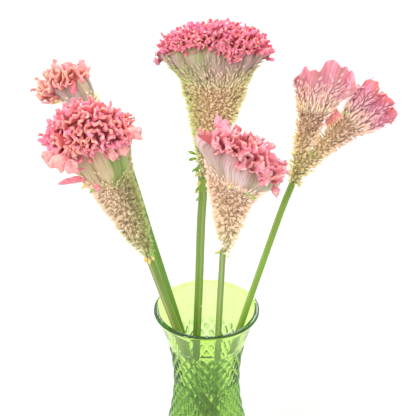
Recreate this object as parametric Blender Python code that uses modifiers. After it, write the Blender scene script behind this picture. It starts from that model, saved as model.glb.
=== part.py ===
"""Five cut cockscomb celosia flowers standing in water in a flared pressed glass vase.

Lengths are in millimetres and become metres where a mesh is made. +Z is up and +Y points
away from the viewer. The origin is the centre of the vase's foot, on the table.
"""
import math

import bmesh
import bpy
from mathutils import Vector

MM = 0.001
GAP = 0.3

# Vase: outer radius by height, wall and floor
VASE_HEIGHT = 235.0
VASE_OUTLINE = [(2.0, 40.5), (28.0, 44.5), (55.0, 46.0), (80.0, 43.2), (100.0, 39.2), (125.0, 34.9),
                (150.0, 33.2), (170.0, 34.2), (187.0, 36.4), (208.0, 41.4), (222.0, 46.2), (233.2, 51.0)]
FOOT_EDGE_RADIUS = 2.0
WALL = 3.6
FLOOR = 10.0
FLOOR_CORNER_RADIUS = 6.0
VASE_SIDES = 40

# Water up to the vase's waist
WATER_LEVEL = 155.0
WATER_CLEARANCE = 0.45
STEM_CLEARANCE = 0.4

# Stems: radius and the route from the vase's floor to under the florets
STEMS = {
    "back": (4.1, [(-17.3, 20.0, 10.0), (-13.7, 20.0, 100.0), (-11.4, 20.0, 155.0), (-8.0, 20.0, 235.0),
                   (-5.3, 21.0, 316.0)]),
    "front": (3.0, [(3.6, -17.5, 10.0), (6.9, -19.0, 100.0), (8.9, -20.0, 155.0), (11.9, -22.0, 235.0)]),
    "left": (3.9, [(27.0, -5.0, 10.0), (8.3, -9.5, 100.0), (-8.4, -13.0, 155.0), (-32.4, -19.0, 235.0)]),
    "far_left": (3.9, [(22.5, 5.2, 10.0), (1.1, 3.0, 100.0), (-12.4, 1.0, 155.0), (-31.9, -2.0, 235.0),
                       (-53.4, 0.0, 318.0), (-65.5, 4.0, 364.8), (-76.8, 6.0, 405.8)]),
    "right": (3.2, [(-17.6, 11.5, 10.0), (5.7, 11.0, 100.0), (18.8, 4.0, 155.0), (37.4, -8.0, 235.0),
                    (67.4, -8.0, 342.7)]),
}
STEM_TIP_STRAIGHT = 6.0
STEM_STEPS = 3

# Heads: where the florets begin, and how far the head leans away from the viewer for each mm it rises
HEADS = {
    "back": ((-3.4, 22.4, 354.3), 0.05),
    "front": ((15.3, -26.9, 316.2), -0.10),
    "left": ((-53.3, -30.7, 313.2), -0.25),
    "far_left": ((-87.7, 8.0, 425.3), 0.0),
    "right": ((79.2, -8.0, 380.1), 0.05),
}

# Cross-sections: sideways, along the head, tilt to the right in degrees, half width, half depth
FLORETS = {
    "back": [(0.0, 0.0, 1, 4.3, 4.3), (0.6, 16.0, 2, 5.6, 5.6), (1.2, 31.0, 3, 7.8, 7.6),
             (4.7, 52.0, 4, 12.8, 11.0), (8.4, 72.0, 3, 20.0, 14.5), (10.4, 92.0, 2, 26.0, 17.0),
             (12.0, 110.0, 1, 29.5, 18.0)],
    "front": [(0.0, 0.0, 4, 3.7, 3.7), (3.6, 8.0, 10, 6.4, 6.4), (4.0, 28.0, 16, 11.5, 11.0),
              (5.4, 51.0, 24, 17.6, 15.0), (6.8, 68.0, 28, 22.6, 17.0), (9.2, 82.0, 30, 27.2, 18.0)],
    "left": [(0.0, 0.0, -15, 4.3, 4.3), (-2.2, 9.0, -15, 6.2, 6.2), (-9.4, 30.0, -16, 10.6, 10.4),
             (-15.4, 48.0, -16, 13.6, 12.8), (-23.4, 74.0, -15, 17.2, 15.0), (-31.4, 101.0, -15, 20.4, 17.0)],
    "far_left": [(0.0, 0.0, -30, 4.2, 4.2), (-9.5, 11.0, -30, 7.5, 6.5), (-20.0, 22.0, -27, 12.6, 9.0)],
    "right": [(0.8, 0.0, 18, 6.4, 5.6), (6.4, 14.0, 22, 10.2, 8.0), (12.0, 27.0, 24, 14.8, 9.4)],
}
FANS = {
    "back": [(10.5, 121.0, 0, 36.0, 17.0), (9.4, 134.0, 0, 46.0, 16.5), (9.4, 146.0, 0, 49.0, 11.0)],
    "front": [(10.8, 91.0, 33, 36.0, 15.6), (11.6, 99.0, 35, 44.0, 14.0), (14.6, 106.7, 35, 43.0, 9.0)],
    "left": [(-38.0, 127.0, -15, 28.0, 19.0), (-47.0, 143.2, -15, 30.0, 15.0)],
    "far_left": [(-30.5, 39.5, -24, 16.5, 12.0), (-37.8, 47.2, -24, 18.5, 10.0)],
    "right_upper": [(19.8, 84.0, 11, 19.5, 8.6), (23.4, 94.0, 12, 25.0, 8.6)],
    "right_side": [(60.0, 67.0, 50, 18.0, 8.6), (66.5, 74.0, 52, 20.4, 8.6)],
}

# Two branches share the right head's florets: shift along the shared section, then the sections further up
BRANCHES = {
    "right_upper": (-7.3, [(8.6, 42.0, 6, 9.8, 9.0), (12.4, 56.0, 7, 12.2, 9.2),
                           (16.6, 72.0, 9, 14.6, 9.4)]),
    "right_side": (7.3, [(26.8, 36.0, 45, 9.4, 9.0), (38.0, 46.6, 49, 11.2, 9.2),
                         (52.0, 60.0, 50, 14.0, 9.4)]),
}
BRANCH_HALF_WIDTH = 7.0
BRANCH_HALF_DEPTH = 8.8

# Crests: shift along the fan's top section, half width, half depth at the widest, and height
CRESTS = {
    "back": (0.0, 57.5, 17.0, 19.0),
    "front": (0.0, 50.5, 16.0, 19.0),
    "left": (2.0, 41.0, 22.0, 40.0),
    "far_left": (0.0, 26.0, 15.0, 20.0),
    "right_upper": (0.0, 29.0, 10.5, 22.0),
    "right_side": (0.0, 22.5, 10.5, 17.0),
}
CREST_FORM = [(0.84, 0.0), (1.0, 0.18), (0.98, 0.42), (0.86, 0.66), (0.64, 0.86), (0.36, 1.0)]
CREST_LOBES = {"back": 11, "front": 10, "left": 9, "far_left": 7, "right_upper": 6, "right_side": 5}
CREST_RUFFLE = 0.045
FAN_PLEATS = 9
FAN_PLEAT_DEPTH = 0.035
FLORET_SIDES = 18
FAN_SIDES = 36
CREST_SIDES = 36

# Colour, roughness, metallic, and how much light passes
FINISHES = {
    "vase_glass": ((0.36, 0.62, 0.08, 1.0), 0.05, 0.0, 0.9),
    "water": ((0.75, 0.90, 0.55, 1.0), 0.02, 0.0, 0.9),
    "stem_green": ((0.22, 0.40, 0.09, 1.0), 0.5, 0.0, 0.0),
    "stem_grey_green": ((0.33, 0.45, 0.22, 1.0), 0.5, 0.0, 0.0),
    "floret_beige": ((0.62, 0.52, 0.36, 1.0), 0.7, 0.0, 0.0),
    "fan_mauve": ((0.72, 0.52, 0.50, 1.0), 0.6, 0.0, 0.0),
    "crest_pink": ((0.85, 0.30, 0.36, 1.0), 0.6, 0.0, 0.0),
    "crest_rose": ((0.84, 0.42, 0.52, 1.0), 0.6, 0.0, 0.0),
}


def clear_scene():
    for item in list(bpy.data.objects):
        bpy.data.objects.remove(item, do_unlink=True)


def make_material(name):
    colour, roughness, metallic, passing = FINISHES[name]
    material = bpy.data.materials.new(name)
    material.use_nodes = True
    shader = material.node_tree.nodes["Principled BSDF"]
    shader.inputs["Base Color"].default_value = colour
    shader.inputs["Roughness"].default_value = roughness
    shader.inputs["Metallic"].default_value = metallic
    shader.inputs["Transmission Weight"].default_value = passing
    return material


def smooth_value(keys, at):
    """Value of a smooth curve through (position, value) keys."""
    last = len(keys) - 1
    slopes = []
    for i in range(len(keys)):
        low, high = keys[max(i - 1, 0)], keys[min(i + 1, last)]
        slopes.append((high[1] - low[1]) / (high[0] - low[0]))
    at = min(max(at, keys[0][0]), keys[last][0])
    i = max(k for k in range(last) if keys[k][0] <= at)
    span = keys[i + 1][0] - keys[i][0]
    t = (at - keys[i][0]) / span
    return (keys[i][1] * (1 + 2 * t) * (1 - t) ** 2 + slopes[i] * span * t * (1 - t) ** 2
            + keys[i + 1][1] * t * t * (3 - 2 * t) + slopes[i + 1] * span * t * t * (t - 1))


def smooth_path(points, steps):
    """Points along a smooth curve through the given points."""
    ends = [points[0] * 2 - points[1]] + points + [points[-1] * 2 - points[-2]]
    path = []
    for i in range(1, len(ends) - 2):
        before, start, end, after = ends[i - 1:i + 3]
        for k in range(steps):
            t = k / steps
            path.append(0.5 * (2 * start + (end - before) * t
                               + (2 * before - 5 * start + 4 * end - after) * t ** 2
                               + (3 * start - before - 3 * end + after) * t ** 3))
    path.append(points[-1])
    return path


def inner_radius(height):
    return smooth_value(VASE_OUTLINE, height) - WALL


def wall_heights():
    """Heights at which both faces of the vase's wall have a ring."""
    return [height for height, radius in VASE_OUTLINE if height > FLOOR + FLOOR_CORNER_RADIUS]


def turned(name, profile, sides, collection):
    """Turns a profile of (radius, height) that ends on the axis at both ends."""
    mesh = bpy.data.meshes.new(name)
    points = [(radius * MM, 0.0, height * MM) for radius, height in profile]
    mesh.from_pydata(points, [(i, i + 1) for i in range(len(points) - 1)], [])
    item = bpy.data.objects.new(name, mesh)
    collection.objects.link(item)
    screw = item.modifiers.new("turn", "SCREW")
    screw.steps = sides
    screw.render_steps = sides
    screw.use_merge_vertices = True
    screw.merge_threshold = 0.00005
    screw.use_smooth_shade = True
    return item


def arc(centre, radius, start, end, steps):
    """Points on an arc of (radius, height), with angles in degrees from the outward direction."""
    points = []
    for i in range(steps + 1):
        angle = math.radians(start + (end - start) * i / steps)
        points.append((centre[0] + radius * math.cos(angle), centre[1] + radius * math.sin(angle)))
    return points


def build_vase(collection):
    corner = FLOOR_CORNER_RADIUS
    corner_height = FLOOR + corner
    corner_centre = (inner_radius(corner_height) - corner, corner_height)
    lip_radius = WALL / 2
    lip_centre = (VASE_OUTLINE[-1][1] - lip_radius, VASE_HEIGHT - lip_radius)
    profile = [(0.0, FLOOR)]
    profile += arc(corner_centre, corner, -90, 0, 3)
    profile += [(inner_radius(height), height) for height in wall_heights()[:-1]]
    profile += arc(lip_centre, lip_radius, 180, 0, 4)
    profile += [(radius, height) for height, radius in reversed(VASE_OUTLINE[1:-1])]
    foot = VASE_OUTLINE[0][1] - FOOT_EDGE_RADIUS
    profile += arc((foot, FOOT_EDGE_RADIUS), FOOT_EDGE_RADIUS, 0, -90, 2)
    profile.append((0.0, 0.0))
    vase = turned("vase", profile, VASE_SIDES, collection)
    vase.data.materials.append(make_material("vase_glass"))


def head_frame(head):
    """Base point of a head, and its sideways, rising and backward directions."""
    base, lean = HEADS[head]
    rising = Vector((0.0, lean, 1.0)).normalized()
    sideways = Vector((1.0, 0.0, 0.0))
    return Vector(base), sideways, rising, rising.cross(sideways)


def section_frame(head, sideways_at, along_at, tilt):
    """Centre of a section, and its width, depth and normal directions."""
    base, sideways, rising, backward = head_frame(head)
    angle = math.radians(tilt)
    centre = base + sideways * sideways_at + rising * along_at
    width = sideways * math.cos(angle) - rising * math.sin(angle)
    normal = sideways * math.sin(angle) + rising * math.cos(angle)
    return centre, width, backward, normal


def section_ring(head, section, sides, lift, waves, wave_depth):
    """Points round one elliptical section, raised by lift along its normal."""
    sideways_at, along_at, tilt, half_width, half_depth = section
    centre, width, depth, normal = section_frame(head, sideways_at, along_at, tilt)
    ring = []
    for i in range(sides):
        angle = math.tau * i / sides
        swell = 1.0 + wave_depth * math.cos(waves * angle)
        ring.append(centre + normal * lift + width * (half_width * swell * math.cos(angle))
                    + depth * (half_depth * swell * math.sin(angle)))
    return ring


def closed_loft(name, rings, finish, collection):
    """Closed solid through rings of equal point counts, with a flat face at each end."""
    shape = bmesh.new()
    levels = [[shape.verts.new(point * MM) for point in ring] for ring in rings]
    for lower, upper in zip(levels, levels[1:]):
        for i in range(len(lower)):
            j = (i + 1) % len(lower)
            shape.faces.new((lower[i], lower[j], upper[j], upper[i]))
    shape.faces.new(list(reversed(levels[0])))
    shape.faces.new(levels[-1])
    bmesh.ops.recalc_face_normals(shape, faces=shape.faces)
    mesh = bpy.data.meshes.new(name)
    shape.to_mesh(mesh)
    shape.free()
    mesh.shade_smooth()
    mesh.set_sharp_from_angle(angle=math.radians(50))
    mesh.materials.append(make_material(finish))
    item = bpy.data.objects.new(name, mesh)
    collection.objects.link(item)
    return item


def head_of(part):
    """A branch of the right flower stands on the right head."""
    return "right" if part.startswith("right") else part


def shifted(section, shift, half_width, half_depth):
    """A section in the same plane as another, moved along its width."""
    sideways_at, along_at, tilt = section[:3]
    angle = math.radians(tilt)
    return (sideways_at + shift * math.cos(angle), along_at - shift * math.sin(angle), tilt,
            half_width, half_depth)


def floret_sections(part):
    if part not in BRANCHES:
        return FLORETS[part]
    shift, further = BRANCHES[part]
    start = shifted(FLORETS[head_of(part)][-1], shift, BRANCH_HALF_WIDTH, BRANCH_HALF_DEPTH)
    return [start] + further


def build_florets(part, collection):
    rings = []
    for i, section in enumerate(floret_sections(part)):
        lift = 0.0 if i else GAP
        rings.append(section_ring(head_of(part), section, FLORET_SIDES, lift, 0, 0.0))
    closed_loft("florets_" + part, rings, "floret_beige", collection)


def build_fan(part, collection):
    sections = [floret_sections(part)[-1]] + FANS[part]
    rings = []
    for i, section in enumerate(sections):
        lift = 0.0 if i else GAP
        pleat = FAN_PLEAT_DEPTH if i else 0.0
        rings.append(section_ring(head_of(part), section, FAN_SIDES, lift, FAN_PLEATS, pleat))
    closed_loft("fan_" + part, rings, "fan_mauve", collection)


def build_crest(part, collection):
    shift, half_width, half_depth, height = CRESTS[part]
    rings = []
    for spread, rise in CREST_FORM:
        section = shifted(FANS[part][-1], shift, half_width * spread, half_depth * spread)
        ruffle = CREST_RUFFLE if rise else 0.0
        rings.append(section_ring(head_of(part), section, CREST_SIDES, GAP + rise * height,
                                  CREST_LOBES[part], ruffle))
    finish = "crest_rose" if part in BRANCHES else "crest_pink"
    closed_loft("crest_" + part, rings, finish, collection)


def stem_route(name):
    """Route of a stem from its cut foot to its tip under the florets."""
    radius, points = STEMS[name]
    first_florets = FLORETS[name][0]
    tip, _, _, normal = section_frame(name, *first_florets[:3])
    points = [Vector(point) for point in points] + [tip - normal * STEM_TIP_STRAIGHT]
    path = smooth_path(points, STEM_STEPS)
    direction = (path[1] - path[0]).normalized()
    foot_lift = GAP + radius * math.sqrt(1 - direction.z ** 2)
    path[0] = path[0] + direction * (foot_lift / direction.z)
    path.append(tip)
    return radius, path


def tube(name, path, radius, collection):
    """Round tube along a path, as a curve with filled caps."""
    curve = bpy.data.curves.new(name, "CURVE")
    curve.dimensions = "3D"
    curve.bevel_depth = radius * MM
    curve.bevel_resolution = 3
    curve.use_fill_caps = True
    spline = curve.splines.new("POLY")
    spline.points.add(len(path) - 1)
    for point, place in zip(spline.points, path):
        point.co = (*(place * MM), 1.0)
    spline.use_smooth = True
    item = bpy.data.objects.new(name, curve)
    collection.objects.link(item)
    return item


def as_mesh(item, collection):
    """Replaces a curve object by a mesh object with welded caps."""
    bpy.context.view_layer.update()
    evaluated = item.evaluated_get(bpy.context.evaluated_depsgraph_get())
    mesh = bpy.data.meshes.new_from_object(evaluated)
    shape = bmesh.new()
    shape.from_mesh(mesh)
    bmesh.ops.remove_doubles(shape, verts=shape.verts, dist=0.00001)
    shape.to_mesh(mesh)
    shape.free()
    name = item.name
    place = item.matrix_world.copy()
    bpy.data.objects.remove(item, do_unlink=True)
    solid = bpy.data.objects.new(name, mesh)
    solid.matrix_world = place
    collection.objects.link(solid)
    return solid


def build_stem(name, collection):
    radius, path = stem_route(name)
    stem = tube("stem_" + name, path, radius, collection)
    finish = "stem_grey_green" if name in ("front", "left") else "stem_green"
    stem.data.materials.append(make_material(finish))


def build_water(collection, cutters):
    """Water body with a clear channel for each stem."""
    low = FLOOR + WATER_CLEARANCE
    corner_height = FLOOR + FLOOR_CORNER_RADIUS
    corner = FLOOR_CORNER_RADIUS - WATER_CLEARANCE
    corner_centre = (inner_radius(corner_height) - FLOOR_CORNER_RADIUS, corner_height)
    heights = [height for height in wall_heights() if height < WATER_LEVEL]
    profile = [(0.0, WATER_LEVEL), (inner_radius(WATER_LEVEL) - WATER_CLEARANCE, WATER_LEVEL)]
    profile += [(inner_radius(height) - WATER_CLEARANCE, height) for height in reversed(heights)]
    profile += arc(corner_centre, corner, 0, -90, 3)
    profile.append((0.0, low))
    water = turned("water", profile, VASE_SIDES, collection)
    water.data.materials.append(make_material("water"))
    for name in STEMS:
        radius, path = stem_route(name)
        path[0] = path[0] - (path[1] - path[0]).normalized() * FLOOR
        channel = tube("channel_" + name, path, radius + STEM_CLEARANCE, cutters)
        channel = as_mesh(channel, cutters)
        channel.hide_render = True
        channel.display_type = "WIRE"
        cut = water.modifiers.new("channel_" + name, "BOOLEAN")
        cut.operation = "DIFFERENCE"
        cut.solver = "EXACT"
        cut.object = channel


def build():
    clear_scene()
    celosia = bpy.data.collections.new("cockscomb_celosia")
    cutters = bpy.data.collections.new("cutters")
    for collection in (celosia, cutters):
        bpy.context.scene.collection.children.link(collection)
    build_vase(celosia)
    build_water(celosia, cutters)
    for name in STEMS:
        build_stem(name, celosia)
    for part in [*FLORETS, *BRANCHES]:
        build_florets(part, celosia)
    for part in FANS:
        build_fan(part, celosia)
    for part in CRESTS:
        build_crest(part, celosia)


build()
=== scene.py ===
import math

import bmesh
import bpy
import numpy as np
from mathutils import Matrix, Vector


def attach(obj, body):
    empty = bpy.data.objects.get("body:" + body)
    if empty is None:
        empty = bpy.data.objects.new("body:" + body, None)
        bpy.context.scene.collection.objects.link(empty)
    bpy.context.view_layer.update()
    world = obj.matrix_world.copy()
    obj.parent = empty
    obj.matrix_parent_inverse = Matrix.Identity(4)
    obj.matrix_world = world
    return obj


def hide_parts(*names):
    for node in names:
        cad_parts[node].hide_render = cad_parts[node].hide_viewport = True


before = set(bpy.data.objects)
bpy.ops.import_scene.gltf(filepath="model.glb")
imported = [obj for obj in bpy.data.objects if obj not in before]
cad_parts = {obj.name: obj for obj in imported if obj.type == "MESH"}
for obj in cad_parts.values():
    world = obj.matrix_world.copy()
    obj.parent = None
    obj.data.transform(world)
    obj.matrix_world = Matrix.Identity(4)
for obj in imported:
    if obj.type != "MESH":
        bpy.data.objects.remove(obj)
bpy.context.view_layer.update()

# Stage: a wide white floor in an even, bright studio, seen from above the flowers. Lengths in this
# file are in millimetres and become metres where a mesh is made; only the camera and the lamps are
# placed in metres.
MM = 0.001
LIGHT_BOUNCES = 24
FLOOR_HALF = 4000.0
FLOOR_HEIGHT = -0.5
WHITE = (1.0, 1.0, 1.0)
SKY_COLOUR = (1.0, 1.0, 0.99)
CAMERA_SIDE_COLOUR = (0.50, 0.52, 0.50)
# The sky brightens between these heights, and towards the back of the room
SKY_FADE = (0.1, 0.75)
LIGHT_AIM = (0.0, 0.0, 0.35)

camera_data = bpy.data.cameras.new("camera")
camera_data.lens = 116.83
camera_data.sensor_width = 36.0
camera_data.clip_end = 20.0
camera = bpy.data.objects.new("camera", camera_data)
camera.location = (0.00137, -1.08499, 0.98683)
camera.rotation_euler = (math.radians(59.5), 0.0, 0.0)
bpy.context.scene.collection.objects.link(camera)
bpy.context.scene.camera = camera
bpy.context.scene.view_settings.view_transform = "Standard"
bpy.context.scene.cycles.max_bounces = LIGHT_BOUNCES
bpy.context.scene.cycles.transmission_bounces = LIGHT_BOUNCES


def feed(tree, node, values):
    """Gives a node's sockets other nodes' outputs or plain values; a colour has three numbers."""
    for name, value in values.items():
        socket = node.inputs[name]
        if isinstance(value, bpy.types.NodeSocket):
            tree.links.new(value, socket)
        else:
            socket.default_value = (*value, 1.0) if socket.type == "RGBA" else value


def wire(tree, kind, sockets=None, **settings):
    """Adds a node with its settings, and feeds its sockets."""
    made = tree.nodes.new(kind)
    for name, value in settings.items():
        setattr(made, name, value)
    feed(tree, made, sockets or {})
    return made


def blank_material(name):
    material = bpy.data.materials.new(name)
    material.use_nodes = True
    tree = material.node_tree
    return material, tree, tree.nodes["Principled BSDF"]


def solid(name, points, faces, material, attributes=None, smooth=True):
    """Mesh object from points in millimetres, with outward faces and per-point numbers."""
    mesh = bpy.data.meshes.new(name)
    mesh.from_pydata((np.asarray(points) * MM).tolist(), [], faces)
    for key, values in (attributes or {}).items():
        values = np.asarray(values, np.float32)
        kind = "FLOAT_VECTOR" if values.ndim == 2 else "FLOAT"
        layer = mesh.attributes.new(key, kind, "POINT")
        layer.data.foreach_set("vector" if values.ndim == 2 else "value", values.ravel())
    shape = bmesh.new()
    shape.from_mesh(mesh)
    bmesh.ops.recalc_face_normals(shape, faces=shape.faces)
    shape.to_mesh(mesh)
    shape.free()
    if smooth:
        mesh.shade_smooth()
    mesh.materials.append(material)
    item = bpy.data.objects.new(name, mesh)
    bpy.context.scene.collection.objects.link(item)
    return item


floor_white, tree, surface = blank_material("studio_floor_white")
feed(tree, surface, {"Base Color": (0.60, 0.60, 0.597), "Roughness": 0.9, "Specular IOR Level": 0.1,
                     "Emission Color": WHITE, "Emission Strength": 0.05})
corners = [(x * FLOOR_HALF, y * FLOOR_HALF, FLOOR_HEIGHT) for x, y in ((-1, -1), (1, -1), (1, 1), (-1, 1))]
floor = solid("studio_floor", corners, [(0, 1, 2, 3)], floor_white, smooth=False)
if floor.data.polygons[0].normal.z < 0:
    floor.data.flip_normals()


def blend(tree, factor, first, second, way="MIX"):
    """Two colours mixed by a factor; each is a plain colour or another node's output."""
    return wire(tree, "ShaderNodeMix", {0: factor, 6: first, 7: second},
                data_type="RGBA", blend_type=way).outputs[2]


def calc(tree, way, *values):
    """Result of a sum of plain numbers and other nodes' outputs."""
    return wire(tree, "ShaderNodeMath", dict(enumerate(values)), operation=way).outputs[0]


def share_of(tree, value, start, end):
    """How far a value has come from start to end, 0 to 1."""
    return wire(tree, "ShaderNodeMapRange", {"Value": value, "From Min": start, "From Max": end}).outputs[0]


world = bpy.data.worlds.new("studio")
world.use_nodes = True
bpy.context.scene.world = world
tree = world.node_tree
direction = wire(tree, "ShaderNodeTexCoord").outputs["Generated"]
parts = wire(tree, "ShaderNodeSeparateXYZ", {"Vector": direction}).outputs
behind = share_of(tree, parts["Y"], -SKY_FADE[1], SKY_FADE[0])
above = share_of(tree, parts["Z"], *SKY_FADE)
sky = blend(tree, calc(tree, "MAXIMUM", behind, above), CAMERA_SIDE_COLOUR, SKY_COLOUR)
feed(tree, tree.nodes["Background"], {"Color": sky, "Strength": 1.35})


def soft_light(name, place, size, power):
    """Round soft lamp that faces the flowers."""
    lamp = bpy.data.lights.new(name, "AREA")
    lamp.shape = "DISK"
    lamp.size = size
    lamp.energy = power
    item = bpy.data.objects.new(name, lamp)
    item.location = place
    item.rotation_euler = (Vector(LIGHT_AIM) - Vector(place)).to_track_quat("-Z", "Y").to_euler()
    bpy.context.scene.collection.objects.link(item)


soft_light("softbox_left", (-1.1, -1.3, 1.6), 0.9, 19.0)
soft_light("softbox_back", (0.5, 1.5, 1.5), 1.2, 21.0)

# Vase: clear yellow-green glass pressed in a mould, with a smooth flared collar that was fire polished
# to a round lip, and rows of raised diamonds from the collar down to the foot. It stands on its foot.
VASE_HEIGHT = 235.0
# Height and outer radius
VASE_OUTLINE = [(2.0, 40.5), (28.0, 44.5), (55.0, 46.0), (80.0, 43.2), (100.0, 39.2), (125.0, 34.9),
                (150.0, 33.2), (170.0, 34.2), (187.0, 36.4), (208.0, 41.4), (222.0, 46.2), (233.2, 51.0)]
WALL = 3.6
LIP_BEAD = 5.4
LIP_SPREAD = 0.5
LIP_SQUASH = 0.75
COLLAR_END = VASE_OUTLINE[-1][0] - 3.0
GLASS_FLOOR = 10.0
FLOOR_CORNER = 6.0
FOOT_EDGE = 2.0
FOOT_HOLLOW = 0.9
DIAMONDS_ROUND = 22
DIAMOND_ROWS = 13
DIAMOND_HEIGHT = 14.5
DIAMOND_STEPS = 10
DIAMOND_RISE = 2.2
# Share of a diamond's rise that lies inside the vase's outline
DIAMOND_SUNK = 0.75
PATTERN_TOP = 201.5
PATTERN_BOTTOM = PATTERN_TOP - DIAMOND_ROWS * DIAMOND_HEIGHT
PATTERN_LEDGE = 0.3
PATTERN_FADE = 8.0
# Depth of colour in the grooves; the top of a diamond has 1, and the collar 0
GROOVE_COLOUR = 0.3


def smooth_value(keys, at):
    """Value of a smooth curve through (position, value) keys."""
    last = len(keys) - 1
    slopes = []
    for i in range(len(keys)):
        low, high = keys[max(i - 1, 0)], keys[min(i + 1, last)]
        slopes.append((high[1] - low[1]) / (high[0] - low[0]))
    at = min(max(at, keys[0][0]), keys[last][0])
    i = max(k for k in range(last) if keys[k][0] <= at)
    span = keys[i + 1][0] - keys[i][0]
    t = (at - keys[i][0]) / span
    return (keys[i][1] * (1 + 2 * t) * (1 - t) ** 2 + slopes[i] * span * t * (1 - t) ** 2
            + keys[i + 1][1] * t * t * (3 - 2 * t) + slopes[i + 1] * span * t * t * (t - 1))


def skin(rings, start_point=None, end_point=None):
    """Points and faces of a closed surface through rings, each end closed by a point or a flat face."""
    rings = np.asarray(rings, float)
    rows, sides = rings.shape[:2]
    points = rings.reshape(-1, 3).tolist()
    index = np.arange(rows * sides).reshape(rows, sides)
    after = np.roll(index, -1, 1)
    faces = np.stack([index[:-1], after[:-1], after[1:], index[1:]], -1).reshape(-1, 4).tolist()
    for ring, next_in_ring, point in ((index[0], after[0], start_point), (index[-1], after[-1], end_point)):
        if point is None:
            faces.append(ring.tolist())
        else:
            points.append(list(point))
            faces += [(a, b, len(points) - 1) for a, b in zip(ring.tolist(), next_in_ring.tolist())]
    return points, faces


def full_turn(sides):
    """Evenly spaced angles once round, in radians."""
    return np.arange(sides) / sides * math.tau


def circle(sides):
    """Points of a circle of radius 1."""
    return np.stack([np.cos(full_turn(sides)), np.sin(full_turn(sides))], 1)


def diamond_relief(turns, height):
    """Rise of the raised diamonds above their grooves, 0 to 1."""
    row = (PATTERN_TOP - height) / DIAMOND_HEIGHT
    first = np.abs(np.sin(math.pi * (DIAMONDS_ROUND * turns + row)))
    second = np.abs(np.sin(math.pi * (DIAMONDS_ROUND * turns - row)))
    fade = min((PATTERN_TOP - height) / PATTERN_FADE, 1.0)
    return DIAMOND_SUNK + fade * ((first * second) ** 0.6 - DIAMOND_SUNK)


def vase_rings():
    """Rings from the inner floor up the wall, over the lip and down the outer skin to the foot."""
    sides = DIAMONDS_ROUND * DIAMOND_STEPS
    around = circle(sides)
    turns = np.arange(sides) / sides
    rings = []
    colour_depths = []

    def add(radius, height, colour_depth=0.0):
        radius = np.broadcast_to(radius, (sides,))
        rings.append(np.column_stack([around * radius[:, None], np.full(sides, height)]))
        colour_depths.append(np.broadcast_to(colour_depth, (sides,)))

    def add_arc(radius, height, wide, high, angles):
        for angle in angles:
            add(radius + wide * math.cos(math.radians(angle)), height + high * math.sin(math.radians(angle)))

    corner_height = GLASS_FLOOR + FLOOR_CORNER
    corner_radius = smooth_value(VASE_OUTLINE, corner_height) - WALL - FLOOR_CORNER
    for step in range(1, 5):
        add(corner_radius * step / 5, GLASS_FLOOR)
    add_arc(corner_radius, corner_height, FLOOR_CORNER, FLOOR_CORNER, np.linspace(-90, 0, 7))
    for height in np.linspace(corner_height, COLLAR_END, 56)[1:]:
        add(smooth_value(VASE_OUTLINE, height) - WALL, height)
    lip = LIP_BEAD / 2
    add_arc(VASE_OUTLINE[-1][1] + LIP_SPREAD - lip, VASE_HEIGHT - lip * LIP_SQUASH, lip, lip * LIP_SQUASH,
            np.linspace(200, -30, 19))
    for height in np.linspace(COLLAR_END, PATTERN_TOP + PATTERN_LEDGE, 16):
        add(smooth_value(VASE_OUTLINE, height), height)
    for height in np.linspace(PATTERN_TOP, PATTERN_BOTTOM, DIAMOND_ROWS * DIAMOND_STEPS + 1):
        relief = diamond_relief(turns, height)
        fade = min((PATTERN_TOP - height) / PATTERN_FADE, 1.0)
        outline = smooth_value(VASE_OUTLINE, height)
        add(outline - PATTERN_LEDGE + DIAMOND_RISE * (relief - DIAMOND_SUNK), height,
            GROOVE_COLOUR + (1 - GROOVE_COLOUR) * relief * fade)
    for height in (PATTERN_BOTTOM - 0.6, 9.0, 6.0, 4.0):
        add(smooth_value(VASE_OUTLINE, height), height)
    foot_radius = VASE_OUTLINE[0][1] - FOOT_EDGE
    add_arc(foot_radius, FOOT_EDGE, FOOT_EDGE, FOOT_EDGE, (0, -30, -60, -90))
    for share, height in ((0.93, 0.0), (0.9, 0.6), (0.6, FOOT_HOLLOW), (0.3, FOOT_HOLLOW)):
        add(foot_radius * share, height)
    return rings, np.append(np.array(colour_depths).ravel(), (0.0, 0.0))


def object_place(tree):
    return wire(tree, "ShaderNodeTexCoord").outputs["Object"]


def number(tree, name):
    """A number that each point of the mesh carries."""
    return wire(tree, "ShaderNodeAttribute", attribute_name=name).outputs["Fac"]


def noise(tree, place, scale, detail):
    made = wire(tree, "ShaderNodeTexNoise", {"Vector": place, "Scale": scale, "Detail": detail})
    return made.outputs["Fac"]


def ramp(tree, factor, stops):
    """Colour ramp through (position, colour) stops."""
    made = wire(tree, "ShaderNodeValToRGB", {"Fac": factor})
    band = made.color_ramp
    while len(band.elements) < len(stops):
        band.elements.new(0.5)
    for element, (position, colour) in zip(band.elements, stops):
        element.position = position
        element.color = (*colour, 1.0)
    return made.outputs["Color"]


def bumpy(tree, surface, height, strength, distance):
    bump = wire(tree, "ShaderNodeBump", {"Height": height, "Strength": strength, "Distance": distance})
    feed(tree, surface, {"Normal": bump.outputs["Normal"]})


glass, tree, surface = blank_material("pressed_green_glass")
bumpy(tree, surface, noise(tree, object_place(tree), 60.0, 2.0), 0.06, 0.001)
tint = ramp(tree, number(tree, "colour_depth"), [(0.0, (0.90, 0.98, 0.72)), (0.3, (0.92, 1.0, 0.66)),
                                                 (0.75, (0.60, 0.84, 0.42)), (1.0, (0.40, 0.70, 0.26))])
# The glass also has a faint painted green glow of its own, painted light
feed(tree, surface, {"Base Color": tint, "Roughness": 0.02, "IOR": 1.5, "Transmission Weight": 1.0,
                     "Emission Color": (0.30, 0.75, 0.16), "Emission Strength": 0.02})
depth = wire(tree, "ShaderNodeVolumeAbsorption", {"Color": (0.80, 0.94, 0.05), "Density": 165.0})
feed(tree, tree.nodes["Material Output"], {"Volume": depth.outputs["Volume"]})

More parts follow.
